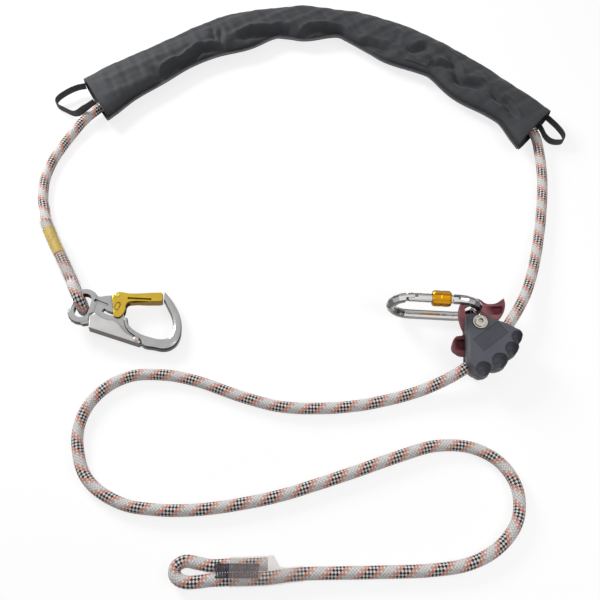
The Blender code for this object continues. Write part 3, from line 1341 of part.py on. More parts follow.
def make_bush(looks, adjuster):
    half, bore = CAM_THICKNESS / 2, BOLT_DIAMETER / 2 + SEAT_GAP
    bush = turned("cam_bush", [(bore, -half), (BUSH_RADIUS, -half), (BUSH_RADIUS, half), (bore, half)])
    add_object("cam_bush", bush, looks["steel"], adjuster)


def make_adjuster(looks):
    adjuster = add_empty("adjuster_axis", (*ADJUSTER_AXIS, ADJUSTER_HALF_THICKNESS))
    rope_room = rope_cutter("rope_channel", adjuster)
    cam_room = cam_room_cutter(adjuster)
    name = "adjuster_shell_front"
    front = make_shell(name, front_block(name), looks, adjuster, rope_room, cam_room)
    cut_panel(front, adjuster)
    cut_scoops(front, adjuster)
    name = "adjuster_shell_back"
    back = make_shell(name, back_block(name), looks, adjuster, rope_room, cam_room)
    cut_back(back, adjuster)
    make_shell_screws(looks, adjuster)
    make_bolt(looks, adjuster)
    make_bush(looks, adjuster)
    return make_cam(looks, adjuster)


# Karabiner, in the frame of its swing: x along it, z across it, z = 0 in the cam's middle plane.
# Its spine lies on the surface below.
BAR_RADIUS = KARABINER_BAR / 2
BEND_RADIUS = (KARABINER_WIDTH - KARABINER_BAR) / 2
BEND_LEVEL = SEAT_GAP + BAR_RADIUS - ADJUSTER_HALF_THICKNESS + BEND_RADIUS
GATE_LEVEL = BEND_LEVEL + BEND_RADIUS
INNER_REACH = math.sqrt((BEND_RADIUS - BAR_RADIUS) ** 2 - (BEND_LEVEL + CAM_THICKNESS / 2) ** 2)
OUTER_REACH = math.sqrt((BEND_RADIUS + BAR_RADIUS) ** 2 - (BEND_LEVEL - CAM_THICKNESS / 2) ** 2)
NEAR_BEND = -(INNER_REACH + OUTER_REACH) / 2
FAR_BEND = NEAR_BEND - (KARABINER_LENGTH - KARABINER_WIDTH)
HINGE_X = FAR_BEND - HINGE_SETBACK
NOSE_X = NEAR_BEND - NOSE_SETBACK
GATE_LENGTH = NOSE_X - HINGE_X
GATE_END = GATE_LENGTH - NOSE_GAP
LATCH_X = NOSE_X + LATCH_TONGUE_LENGTH / 2
HINGE_CHAMFER = HINGE_CHAMFER_SHARE * GATE_BAR / 2
BAR_LOW, BAR_HIGH = GATE_LEVEL - BAR_RADIUS - CUT_OVERRUN, GATE_LEVEL + BAR_RADIUS + CUT_OVERRUN
BAR_SIDE = BAR_RADIUS + CUT_OVERRUN
ACROSS = Matrix.Rotation(math.radians(90), 4, "X")
LENGTHWISE = Matrix.Rotation(math.radians(90), 4, "Y")


def karabiner_route():
    """The bar's route: past the hinge, round the far bend, along the spine and round to the nose."""
    path = [Vector((FAR_BEND + KARABINER_BAR, 0, GATE_LEVEL)), Vector((FAR_BEND, 0, GATE_LEVEL))]
    for x, start in ((FAR_BEND, 90), (NEAR_BEND, -90)):
        bend = arc_points((x, BEND_LEVEL), BEND_RADIUS, start, 180, BEND_STEPS)
        path += [Vector((p[0], 0, p[1])) for p in (bend[1:] if x == FAR_BEND else bend)]
    return path + [Vector((NOSE_X, 0, GATE_LEVEL))]


def cut_block(obj, name, low, high, parent):
    cut(obj, add_object(name, box(name, low, high), parent=parent))


def cross_cutter(name, parent, radius, place, sides=16):
    """A round cutter across the bar."""
    hole = prism(name, circle_points((0, 0), radius, sides), -KARABINER_BAR, KARABINER_BAR)
    hole.transform(ACROSS)
    return add_object(name, hole, parent=parent, location=place)


def cut_hinge(body, swing):
    """Thins the bar's end to a tongue for the gate's fork."""
    relief = HINGE_X - math.hypot(HINGE_END_RADIUS, HINGE_CHAMFER) - LATCH_CLEARANCE
    beyond = FAR_BEND + KARABINER_BAR + CUT_OVERRUN
    for side in (-1, 1):
        low, high = sorted((side * HINGE_TONGUE / 2, side * BAR_SIDE))
        cut_block(body, f"hinge_relief_{side}", (relief, low, BAR_LOW), (beyond, high, BAR_HIGH), swing)
    tongue_end = HINGE_X + HINGE_END_RADIUS - 2 * LATCH_CLEARANCE
    low, high = (tongue_end, -BAR_SIDE, BAR_LOW), (beyond, BAR_SIDE, BAR_HIGH)
    cut_block(body, "hinge_tongue_end", low, high, swing)
    bore = HINGE_PIN_DIAMETER / 2 + SEAT_GAP
    cut(body, cross_cutter("hinge_pin_hole", swing, bore, (HINGE_X, 0, GATE_LEVEL)))


def cut_nose(body, swing):
    """Cuts the nose for the gate's tongue, with a notch for its pin."""
    root = NOSE_X + LATCH_TONGUE_LENGTH + NOSE_GAP + LATCH_CLEARANCE
    half = LATCH_TONGUE / 2 + LATCH_CLEARANCE
    low, high = (NOSE_X - CUT_OVERRUN, -half, BAR_LOW), (root, half, BAR_HIGH)
    cut_block(body, "nose_slot", low, high, swing)
    half = LATCH_PIN_DIAMETER / 2 + LATCH_CLEARANCE
    wide = LATCH_PIN_LENGTH / 2 + LATCH_CLEARANCE
    low, high = (LATCH_X - half, -wide, BAR_LOW), (LATCH_X + half, wide, GATE_LEVEL + half)
    cut_block(body, "nose_notch", low, high, swing)


def make_karabiner_body(looks, swing):
    bar = upright_bar("karabiner_body", karabiner_route(), BAR_RADIUS)
    body = add_object("karabiner_body", bar, looks["chrome"], swing)
    cut_hinge(body, swing)
    cut_nose(body, swing)
    half = GATE_BAR / 2 + SEAT_GAP
    pin = rod("karabiner_hinge_pin", HINGE_PIN_DIAMETER / 2, -half, half)
    pin.transform(ACROSS)
    add_object("karabiner_hinge_pin", pin, looks["steel"], swing, (HINGE_X, 0, GATE_LEVEL))


def gate_profile():
    """The gate's turned outline from its hinge end to its latch end, with raised bands."""
    radius, band = GATE_BAR / 2, GATE_BAND_DIAMETER / 2
    back = -HINGE_END_RADIUS
    profile = [(0, back), (HINGE_CHAMFER, back), (radius, back + radius - HINGE_CHAMFER)]
    for share in GATE_BAND_START_SHARES:
        start = share * GATE_LENGTH
        end = start + GATE_BAND_WIDTH
        profile += [(radius, start), (band, start), (band, end), (radius, end)]
    return profile + [(radius, GATE_END), (0, GATE_END)]


def make_karabiner_gate(looks, gate_axis):
    """A fork at the hinge, a turned bar and a tongue with a cross pin at the nose."""
    bar = turned("karabiner_gate", gate_profile(), 16)
    bar.transform(LENGTHWISE)
    gate = add_object("karabiner_gate", bar, looks["chrome"], gate_axis)
    rise = GATE_BAR / 2 * LATCH_TONGUE_HEIGHT_SHARE
    low = (GATE_END - CUT_OVERRUN, -LATCH_TONGUE / 2, -rise)
    high = (GATE_END + LATCH_TONGUE_LENGTH, LATCH_TONGUE / 2, rise)
    join(gate, add_object("latch_tongue", box("latch_tongue", low, high), parent=gate_axis))
    half = HINGE_TONGUE / 2 + TURNING_GAP
    low = (-KARABINER_BAR, -half, -BAR_SIDE)
    high = (math.hypot(HINGE_END_RADIUS, BAR_RADIUS), half, BAR_SIDE)
    cut_block(gate, "gate_fork_slot", low, high, gate_axis)
    bore = HINGE_PIN_DIAMETER / 2 + TURNING_GAP
    cut(gate, cross_cutter("gate_pin_hole", gate_axis, bore, (0, 0, 0)))
    place = (LATCH_X - HINGE_X, 0, 0)
    bore = LATCH_PIN_DIAMETER / 2 + SEAT_GAP
    cut(gate, cross_cutter("latch_pin_bore", gate_axis, bore, place, 12))
    pin = rod("karabiner_latch_pin", LATCH_PIN_DIAMETER / 2, -LATCH_PIN_LENGTH / 2, LATCH_PIN_LENGTH / 2, 12)
    pin.transform(ACROSS)
    add_object("karabiner_latch_pin", pin, looks["steel"], gate_axis, place)


def make_screw_nut(looks, gate_axis):
    """A nut, fluted outside, that slides on the gate."""
    sides = 3 * SCREW_NUT_FLUTES
    bore = BAR_RADIUS + TURNING_GAP
    outer, inner = [], []
    for share, shrink in SCREW_NUT_PROFILE_SHARES:
        x = SCREW_NUT_LENGTH_SHARE * GATE_LENGTH * share
        ring_out, ring_in = [], []
        for i in range(sides):
            angle = math.tau * i / sides
            flute = 1 - FLUTE_DEPTH_SHARE * (1 - math.cos(SCREW_NUT_FLUTES * angle))
            radius = SCREW_NUT_DIAMETER / 2 * shrink * flute
            ring_out.append(Vector((x, radius * math.cos(angle), radius * math.sin(angle))))
            ring_in.append(Vector((x, bore * math.cos(angle), bore * math.sin(angle))))
        outer.append(ring_out)
        inner.append(ring_in)
    nut = open_tube("karabiner_nut", outer, inner, smooth_degrees=30.0)
    start = SCREW_NUT_START_SHARE * GATE_LENGTH
    add_object("karabiner_nut", nut, looks["gold_nut"], gate_axis, (start, 0, 0))


def make_karabiner(looks, cam_axis):
    rotation = (math.radians(KARABINER_LEAN_DEGREES), 0, math.radians(KARABINER_YAW_DEGREES))
    swing = add_empty("karabiner_swing_axis", (*on_shell(CAM_EYE_SHARES), 0), rotation, cam_axis)
    make_karabiner_body(looks, swing)
    gate_axis = add_empty("karabiner_gate_axis", (HINGE_X, 0, GATE_LEVEL), parent=swing)
    make_karabiner_gate(looks, gate_axis)
    make_screw_nut(looks, gate_axis)


def make_looks():
    return {
        "rope": new_material("braided rope", (0.72, 0.66, 0.62), 0.85, 0.0),
        "clear_cover": new_material("clear shrink film", (0.78, 0.75, 0.72), 0.20, 0.0),
        "label": new_material("yellow label", (0.85, 0.60, 0.05), 0.50, 0.0),
        "thread": new_material("grey thread", (0.10, 0.11, 0.14), 0.80, 0.0),
        "fabric": new_material("charcoal fabric", (0.03, 0.03, 0.035), 0.90, 0.0),
        "piping": new_material("charcoal piping", (0.05, 0.05, 0.055), 0.85, 0.0),
        "tag": new_material("woven tag", (0.02, 0.02, 0.02), 0.80, 0.0),
        "webbing": new_material("black webbing", (0.02, 0.02, 0.022), 0.80, 0.0),
        "aluminium": new_material("polished aluminium", (0.62, 0.63, 0.64), 0.28, 1.0),
        "gold": new_material("gold anodised aluminium", (0.80, 0.55, 0.10), 0.30, 1.0),
        "gold_nut": new_material("orange anodised aluminium", (0.80, 0.40, 0.02), 0.35, 1.0),
        "steel": new_material("zinc plated steel", (0.60, 0.58, 0.54), 0.35, 1.0),
        "chrome": new_material("polished steel", (0.60, 0.60, 0.60), 0.18, 1.0),
        "maroon": new_material("maroon anodised aluminium", (0.16, 0.03, 0.035), 0.40, 1.0),
        "shell": new_material("grey nylon", (0.10, 0.10, 0.12), 0.60, 0.0),
    }


def build():
    clear_scene()
    looks = make_looks()
    make_ropes(looks)
    make_hook_splice(looks)
    make_end_splice(looks)
    make_sleeve(looks)
    make_pull_loop("pull_loop_left", LEFT_LOOP_ROUTE, looks)
    make_pull_loop("pull_loop_right", RIGHT_LOOP_ROUTE, looks)
    make_hook(looks)
    make_karabiner(looks, make_adjuster(looks))


build()
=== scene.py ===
"""Tree climbing lanyard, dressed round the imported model.

The rope is a braided tube in four pieces with one pattern running through them. The sleeve is
sculpted cloth with hems, stitches and webbing loops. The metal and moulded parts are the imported
nodes with materials of their own. Lengths are metres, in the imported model's frame.
"""

import math

import bmesh
import bpy
import numpy as np
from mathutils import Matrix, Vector
from mathutils.bvhtree import BVHTree
from mathutils.geometry import interpolate_bezier


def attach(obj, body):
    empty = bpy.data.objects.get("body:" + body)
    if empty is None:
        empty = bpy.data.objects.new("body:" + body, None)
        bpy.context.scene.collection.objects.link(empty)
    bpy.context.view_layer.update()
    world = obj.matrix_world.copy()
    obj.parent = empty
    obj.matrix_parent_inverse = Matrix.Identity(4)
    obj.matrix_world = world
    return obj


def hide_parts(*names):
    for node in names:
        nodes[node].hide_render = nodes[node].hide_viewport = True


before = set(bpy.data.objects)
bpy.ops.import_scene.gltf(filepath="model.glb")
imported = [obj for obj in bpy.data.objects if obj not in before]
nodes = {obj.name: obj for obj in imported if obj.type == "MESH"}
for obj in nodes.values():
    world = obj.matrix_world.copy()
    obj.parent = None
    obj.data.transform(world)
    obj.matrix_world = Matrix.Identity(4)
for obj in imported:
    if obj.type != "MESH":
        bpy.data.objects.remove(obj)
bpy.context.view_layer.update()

# Camera, as in the photograph
CAMERA_TARGET = (-0.008, -0.181, 0.0)
CAMERA_DISTANCE = 0.8824
CAMERA_TILT_DEGREES = 27.5
CAMERA_LENS_MM = 45.0

# Rope sizes and route, as in part.py
SEAT_GAP = 0.0003
ROPE_DIAMETER = 0.0127
ROPE_RADIUS = ROPE_DIAMETER / 2
ADJUSTER_HALF_THICKNESS = 0.0195
MAIN_ROUTE = (
    (-0.3255, -0.0580, 0.08), (-0.3300, -0.0430, 0.03), (-0.3325, -0.0120, 0.00), (-0.3265, 0.0200, 0.00),
    (-0.3125, 0.0530, 0.04), (-0.2940, 0.0840, 0.22), (-0.2760, 0.1040, 0.30), (-0.2480, 0.1330, 0.30),
    (-0.1950, 0.1800, 0.30), (-0.1360, 0.2190, 0.30), (-0.0925, 0.2370, 0.30), (-0.0470, 0.2520, 0.30),
    (0.0000, 0.2545, 0.30), (0.0460, 0.2520, 0.30), (0.1095, 0.2235, 0.30), (0.1500, 0.1995, 0.30),
    (0.1900, 0.1740, 0.30), (0.2240, 0.1400, 0.30), (0.2600, 0.1090, 0.30), (0.2850, 0.0810, 0.30),
    (0.2990, 0.0590, 0.30), (0.3020, 0.0300, 0.15), (0.3005, -0.0100, 0.00), (0.2925, -0.0580, 0.00),
    (0.2820, -0.1020, 0.04), (0.2705, -0.1400, 0.17), (0.2570, -0.1740, 0.46), (0.2440, -0.1975, 0.80),
    (0.2310, -0.2170, 1.00), (0.2158, -0.2375, 1.00), (0.2080, -0.2468, 1.00),
)
TAIL_ROUTE = (
    (0.1980, -0.2570, 1.00), (0.1745, -0.2745, 1.00), (0.1540, -0.2860, 0.70), (0.1300, -0.2955, 0.26),
    (0.1015, -0.3040, 0.03), (0.0575, -0.3135, 0.00), (0.0135, -0.3170, 0.00), (-0.0300, -0.3148, 0.00),
    (-0.0735, -0.3030, 0.00), (-0.1185, -0.2865, 0.00), (-0.1550, -0.2785, 0.00), (-0.1965, -0.2800, 0.00),
    (-0.2275, -0.2990, 0.00), (-0.2435, -0.3280, 0.00), (-0.2435, -0.3600, 0.00), (-0.2280, -0.3950, 0.00),
    (-0.1920, -0.4185, 0.00), (-0.1505, -0.4255, 0.00), (-0.1100, -0.4250, 0.00), (-0.0690, -0.4195, 0.00),
    (-0.0285, -0.4110, 0.00), (0.0125, -0.3985, 0.00), (0.0545, -0.3845, 0.00), (0.0975, -0.3695, 0.00),
    (0.1345, -0.3590, 0.00), (0.1720, -0.3603, 0.00), (0.2015, -0.3765, 0.00), (0.2160, -0.4040, 0.00),
    (0.2125, -0.4350, 0.00), (0.1915, -0.4610, 0.00), (0.1600, -0.4775, 0.00), (0.1200, -0.4838, 0.00),
    (0.0705, -0.4855, 0.00), (0.0310, -0.4863, 0.02), (0.0000, -0.4870, 0.10),
)
END_EYE_ROUTE = (
    (-0.0200, -0.4886), (-0.0400, -0.4912), (-0.0600, -0.4920), (-0.0770, -0.4924), (-0.0950, -0.4931),
    (-0.1090, -0.4948), (-0.1205, -0.4948), (-0.1285, -0.4910), (-0.1312, -0.4850), (-0.1285, -0.4790),
    (-0.1205, -0.4755), (-0.1090, -0.4772), (-0.0950, -0.4797), (-0.0770, -0.4790), (-0.0560, -0.4788),
    (-0.0400, -0.4780),
)
SPLICE_ROUTE = (
    (-0.3225, -0.0690), (-0.3165, -0.0840), (-0.3045, -0.1085), (-0.2905, -0.1340), (-0.2795, -0.1545),
    (-0.2738, -0.1655), (-0.2702, -0.1725), (-0.2670, -0.1790), (-0.2610, -0.1905),
)
SPLICE_END_POINT = 1
EYE_OPEN_SHARES = (0.0, 0.0, 0.0, 0.0, 0.0, 0.0, 0.38, 0.92, 1.0)
HOOK_EYE_AXIS = (-0.2552, -0.2032)
SPLICE_LOW = ROPE_RADIUS + 0.0008 + 0.0009
EYE_TURN_RADIUS = (ROPE_DIAMETER + 0.0095 + 2 * 0.0021) / 2
STRAND_RISE = ROPE_DIAMETER + SEAT_GAP

# Braid: strands each way round the rope, and the length of one turn of a strand
STRANDS = 10
BRAID_TURN = 0.0345
SAMPLES_PER_STRAND = 3
BRAID_RELIEF = 0.00032

# Sleeve: x, y and half of its flat width at each station, as in part.py
SLEEVE_STATIONS = (
    (-0.2820, 0.1140, 0.0365), (-0.2520, 0.1425, 0.0330), (-0.2130, 0.1705, 0.0300), (-0.1755, 0.1980, 0.0270),
    (-0.1360, 0.2220, 0.0290), (-0.0925, 0.2400, 0.0325), (-0.0470, 0.2560, 0.0245), (-0.0245, 0.2575, 0.0270),
    (0.0000, 0.2565, 0.0300), (0.0460, 0.2560, 0.0215), (0.0690, 0.2490, 0.0255), (0.1095, 0.2265, 0.0320),
    (0.1305, 0.2135, 0.0345), (0.1720, 0.1905, 0.0300), (0.1900, 0.1775, 0.0285), (0.2240, 0.1425, 0.0340),
    (0.2600, 0.1120, 0.0300), (0.2790, 0.0935, 0.0300), (0.2990, 0.0620, 0.0355),
)
SLEEVE_HEIGHT = 0.0260
HEM_THICKNESS = 0.0009
HEM_WIDTH = 0.0110
SEAM_WIDTH = 0.0060
SLEEVE_MIDDLE = HEM_THICKNESS + 2 * SEAT_GAP + SLEEVE_HEIGHT / 2
LEFT_END_SKEW_DEGREES = -12.5
RIGHT_END_SKEW_DEGREES = 17.0
SKEW_REACH = 0.072
LEFT_LOOP_ROUTE = (
    (-0.2990, 0.1400, 0.0130), (-0.3100, 0.1370, 0.0130), (-0.3240, 0.1290, 0.0120), (-0.3350, 0.1190, 0.0100),
    (-0.3350, 0.1110, 0.0085), (-0.3240, 0.1030, 0.0080), (-0.3080, 0.0950, 0.0090), (-0.2900, 0.0930, 0.0235),
    (-0.2780, 0.0985, 0.0285),
)
RIGHT_LOOP_ROUTE = (
    (0.3150, 0.0900, 0.0130), (0.3220, 0.0810, 0.0130), (0.3310, 0.0690, 0.0120), (0.3375, 0.0570, 0.0100),
    (0.3355, 0.0490, 0.0085), (0.3270, 0.0470, 0.0085), (0.3190, 0.0490, 0.0090), (0.3130, 0.0560, 0.0100),
    (0.3098, 0.0640, 0.0120), (0.3060, 0.0720, 0.0140),
)
WEBBING_WIDTH = 0.0100
WEBBING_THICKNESS = 0.0014

# Visual sleeve: mesh spacing, wall, and how it meets its piped edge
CLOTH_SPACING = 0.0018
CLOTH_WALL = 0.0010
FLANGE_HALF = 0.0008
FLANGE_LIFT = 0.0012
FLANGE_COLUMNS = 6
TOP_COLUMNS = 60
BOTTOM_COLUMNS = 28
PIPING_RADIUS = 0.0010
THREAD_RADIUS = 0.00028
STITCH_LENGTH = 0.0024
STITCH_PITCH = 0.0033
TAG_LENGTH = 0.034
TAG_WIDTH = 0.0092
TAG_PLACE_SHARE = 0.725
STITCHING_CENTRE = (-0.0695, -0.4853)
STITCHING_LENGTH = 0.042
STITCHING_WIDTH = 0.0135
STITCHING_THREADS = 34

# Adjuster's panel, as in part.py
SHELL_SIZE = 0.070
ADJUSTER_AXIS = (0.1904, -0.2286)
PANEL_CENTRE_SHARES = (0.139, -0.241)
PANEL_SIZE_SHARES = (0.520, 0.245)
PANEL_TILT_DEGREES = 37.2
PANEL_DEPTH = 0.0006

# Marks on the hook's gate, in plan
GATE_RECESS = (
    (-0.2062, -0.1918), (-0.2040, -0.1904), (-0.1800, -0.1898), (-0.1782, -0.1904), (-0.1782, -0.1916),
    (-0.1800, -0.1921), (-0.2040, -0.1930),
)
GATE_OVAL = (
    (-0.2186, -0.2044), (-0.2190, -0.1972), (-0.2172, -0.1948), (-0.2144, -0.1956), (-0.2138, -0.1980),
    (-0.2152, -0.2044), (-0.2168, -0.2056),
)

# Creases in the sleeve's top, in plan: points, depth and half width
CREASES = (
    (((-0.2057, 0.1577), (-0.1975, 0.1499), (-0.1898, 0.1588), (-0.1800, 0.1687), (-0.1655, 0.1759),
      (-0.1555, 0.1861), (-0.1455, 0.1979), (-0.1326, 0.2008), (-0.1153, 0.2008), (-0.1098, 0.1979)),
     0.0125, 0.0050),
    (((-0.1313, 0.2324), (-0.1286, 0.2218), (-0.1257, 0.2112)), 0.0036, 0.0036),
    (((-0.1195, 0.2330), (-0.1182, 0.2218), (-0.1170, 0.2103), (-0.1113, 0.2026)), 0.0050, 0.0044),
    (((-0.0969, 0.2170), (-0.0803, 0.2266), (-0.0634, 0.2305), (-0.0466, 0.2324), (-0.0346, 0.2365),
      (-0.0249, 0.2338), (-0.0188, 0.2276), (-0.0115, 0.2216)), 0.0125, 0.0056),
    (((-0.0066, 0.2233), (0.0006, 0.2314), (0.0103, 0.2367), (0.0213, 0.2377), (0.0342, 0.2357),
      (0.0440, 0.2349), (0.0511, 0.2322), (0.0562, 0.2247), (0.0667, 0.2135)), 0.0120, 0.0048),
    (((0.0719, 0.2118), (0.0852, 0.2103), (0.1009, 0.2036), (0.1110, 0.1970), (0.1188, 0.1917)), 0.0095, 0.0052),
    (((0.1340, 0.2264), (0.1289, 0.2198), (0.1252, 0.2112)), 0.0026, 0.0050),
    (((0.1376, 0.1972), (0.1505, 0.1943), (0.1628, 0.1989), (0.1705, 0.1955)), 0.0070, 0.0055),
    (((0.1707, 0.1755), (0.1777, 0.1690), (0.1870, 0.1665), (0.1976, 0.1626)), 0.0085, 0.0048),
    (((0.1968, 0.1838), (0.2018, 0.1709), (0.2042, 0.1581), (0.2050, 0.1418), (0.2099, 0.1355),
      (0.2202, 0.1320), (0.2315, 0.1297), (0.2401, 0.1240)), 0.0100, 0.0055),
    (((0.2473, 0.1222), (0.2507, 0.1117), (0.2558, 0.1047), (0.2646, 0.0987), (0.2697, 0.0851),
      (0.2745, 0.0698)), 0.0090, 0.0050),
)
CREASE_BANK_SHARE = 0.22
RIPPLES = (
    (310.0, 95.0, 0.4, 0.00045), (140.0, -210.0, 1.9, 0.00060), (70.0, 160.0, 3.3, 0.00070),
    (520.0, 260.0, 2.2, 0.00022), (-260.0, 430.0, 0.9, 0.00026),
)


# Curves and frames


def smooth_route(route, spacing):
    """Points at an even spacing on a smooth curve through the route's points."""
    knots = [Vector(p) for p in route]
    dense = [knots[0]]
    for i in range(len(knots) - 1):
        before = knots[max(i - 1, 0)]
        start, end = knots[i], knots[i + 1]
        after = knots[min(i + 2, len(knots) - 1)]
        reach = (end - start).length / 3
        leave = (end - before).normalized() * reach
        arrive = (after - start).normalized() * reach
        dense += interpolate_bezier(start, start + leave, end - arrive, end, 24)[1:]
    lengths = np.cumsum([0.0] + [(b - a).length for a, b in zip(dense[:-1], dense[1:])])
    count = max(2, round(lengths[-1] / spacing) + 1)
    marks = np.linspace(0, lengths[-1], count)
    return np.stack([np.interp(marks, lengths, [p[k] for p in dense]) for k in range(3)], axis=1)


def unit(vectors):
    return vectors / np.linalg.norm(vectors, axis=-1, keepdims=True)


def carried_frames(points):
    """Side and up directions along a route, carried from point to point without twist."""
    along = unit(np.gradient(points, axis=0))
    side = np.cross(along[0], (0, 0, 1))
    sides = []
    for direction in along:
        side = side - direction * np.dot(side, direction)
        side = side / np.linalg.norm(side)
        sides.append(side)
    sides = np.array(sides)
    return sides, np.cross(sides, along)


def lifted(route):
    rise = ADJUSTER_HALF_THICKNESS - ROPE_RADIUS
    return [(x, y, ROPE_RADIUS + share * rise) for x, y, share in route]


# Making objects


def add_piece(name, mesh, body, material, replaced=()):
    """Links a piece, gives it its material and lets it ride on its body."""
    obj = bpy.data.objects.new(name, mesh)
    bpy.context.scene.collection.objects.link(obj)
    if material:
        mesh.materials.append(material)
    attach(obj, body)
    if replaced:
        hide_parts(*replaced)
    return obj


def grid_mesh(name, grid, u_values, v_values, wrap=True, caps=True):
    """A mesh through a grid of points, rows along and columns round, with its own UV map."""
    rows, columns = grid.shape[:2]
    points = grid.reshape(-1, 3)
    r, c = np.meshgrid(np.arange(rows - 1), np.arange(columns if wrap else columns - 1), indexing="ij")
    nxt = (c + 1) % columns
    quads = np.stack([r * columns + c, r * columns + nxt, (r + 1) * columns + nxt, (r + 1) * columns + c], axis=-1)
    faces = quads.reshape(-1, 4).tolist()
    if caps and wrap:
        faces.append(list(range(columns - 1, -1, -1)))
        faces.append([(rows - 1) * columns + i for i in range(columns)])
    mesh = bpy.data.meshes.new(name)
    mesh.from_pydata(points.tolist(), [], faces)
    layer = mesh.uv_layers.new(name="UVMap")
    u_step = u_values[1] - u_values[0]
    u = np.stack([u_values[c], u_values[c] + u_step, u_values[c] + u_step, u_values[c]], axis=-1)
    v = np.stack([v_values[r], v_values[r], v_values[r + 1], v_values[r + 1]], axis=-1)
    flat = np.stack([u, v], axis=-1).reshape(-1)
    every = np.zeros(len(mesh.loops) * 2)
    every[: len(flat)] = flat
    layer.data.foreach_set("uv", every)
    mesh.shade_smooth()
    return mesh


# Rope


def strand_routes():
    """The lower and the upper strand at the hook, from the splice's far end to the hook."""
    middle = ROPE_RADIUS + EYE_TURN_RADIUS
    top = middle + EYE_TURN_RADIUS
    lower, upper = [], []
    for i, ((x, y), share) in enumerate(zip(SPLICE_ROUTE, EYE_OPEN_SHARES)):
        lower.append((x, y, SPLICE_LOW + (ROPE_RADIUS - SPLICE_LOW) * share))
        if i >= SPLICE_END_POINT:
            upper.append((x, y, SPLICE_LOW + STRAND_RISE + (top - SPLICE_LOW - STRAND_RISE) * share))
    return lower, upper, middle


def eye_turn(lower, middle):
    """The rope's turn inside the hook's ring, from its upper side to its lower side."""
    along = (Vector((*HOOK_EYE_AXIS, 0)) - Vector((*lower[-1][:2], 0))).normalized()
    centre = Vector((*HOOK_EYE_AXIS, middle)) - along * EYE_TURN_RADIUS
    turn = []
    for degrees in (60, 30, 0, -30, -60):
        angle = math.radians(degrees)
        turn.append(centre + along * (EYE_TURN_RADIUS * math.cos(angle)))
        turn[-1].z += EYE_TURN_RADIUS * math.sin(angle)
    return turn


def rope_route():
    """The whole rope's centreline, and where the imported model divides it."""
    lower, upper, middle = strand_routes()
    main, tail = lifted(MAIN_ROUTE), lifted(TAIL_ROUTE)
    height = tail[-1][2]
    knots = upper + eye_turn(lower, middle) + lower[::-1] + main + tail
    knots += [(x, y, height) for x, y in END_EYE_ROUTE]
    points = smooth_route(knots, BRAID_TURN / (STRANDS * SAMPLES_PER_STRAND))
    points[:, 2] = np.maximum(points[:, 2], ROPE_RADIUS)
    marks = [int(np.argmin(np.linalg.norm(points - np.array(p), axis=1))) for p in (main[0], main[-1], tail[-1])]
    return points, marks


def braid_relief(turn, along):
    """How far a point of the rope stands out, from its share of a turn and its length along."""
    first = (turn - along / BRAID_TURN) * STRANDS
    second = (turn + along / BRAID_TURN) * STRANDS
    return np.abs(np.sin(np.pi * first) * np.sin(np.pi * second))


def make_rope(material):
    points, marks = rope_route()
    sides, ups = carried_frames(points)
    spacing = np.linalg.norm(np.diff(points, axis=0), axis=1)
    lengths = np.concatenate([[0], np.cumsum(spacing)])
    columns = STRANDS * SAMPLES_PER_STRAND
    turns = np.arange(columns) / columns
    pieces = (
        ("rope_at_hook", 0, marks[0], "hook_eye_rope"),
        ("rope_through_sleeve", marks[0], marks[1], "rope_main"),
        ("rope_free_end", marks[1], marks[2], "rope_tail"),
        ("rope_sewn_eye", marks[2], len(points) - 1, "end_eye_rope"),
    )
    made = []
    for name, first, last, node in pieces:
        rows = slice(first, last + 1)
        angle = 2 * np.pi * turns
        relief = braid_relief(turns[None, :], lengths[rows, None])
        radius = ROPE_RADIUS - BRAID_RELIEF * 0.7 + BRAID_RELIEF * relief
        around = np.cos(angle)[None, :, None] * sides[rows, None, :]
        around = around + np.sin(angle)[None, :, None] * ups[rows, None, :]
        grid = points[rows, None, :] + around * radius[:, :, None]
        grid[:, :, 2] = np.maximum(grid[:, :, 2], 0.0001)
        mesh = grid_mesh(name, grid, turns, lengths[rows])
        obj = add_piece(name, mesh, "lanyard", material, (node,))
        made.append((obj, points[rows], lengths[last] - lengths[first]))
    return made


# Sleeve


def crease_depth(x, y):
    """How far the creases lower the cloth at points in plan, with low banks beside them."""
    depth = np.zeros_like(x)
    for line, deep, reach in CREASES:
        line = np.array(line)
        starts, steps = line[:-1], np.diff(line, axis=0)
        lengths = np.linalg.norm(steps, axis=1)
        before = np.concatenate([[0], np.cumsum(lengths)])
        nearest = np.full_like(x, np.inf)
        share, below = np.zeros_like(x), np.zeros_like(x)
        for start, step, length, done in zip(starts, steps, lengths, before):
            t = np.clip(((x - start[0]) * step[0] + (y - start[1]) * step[1]) / length**2, 0, 1)
            turned = step[0] * (y - start[1]) - step[1] * (x - start[0]) < 0
            away = np.hypot(x - start[0] - t * step[0], y - start[1] - t * step[1])
            closer = away < nearest
            nearest = np.where(closer, away, nearest)
            share = np.where(closer, (done + t * length) / before[-1], share)
            below = np.where(closer, turned, below)
        taper = 1 - 0.75 * np.abs(2 * share - 1) ** 3
        scaled = nearest / reach / np.where(below > 0, 1.25, 0.80)
        bank = CREASE_BANK_SHARE * np.exp(-((scaled - 2.0) / 0.8) ** 2) * (1 - below)
        depth += deep * taper * (np.exp(-(scaled**1.6)) - bank)
    return depth


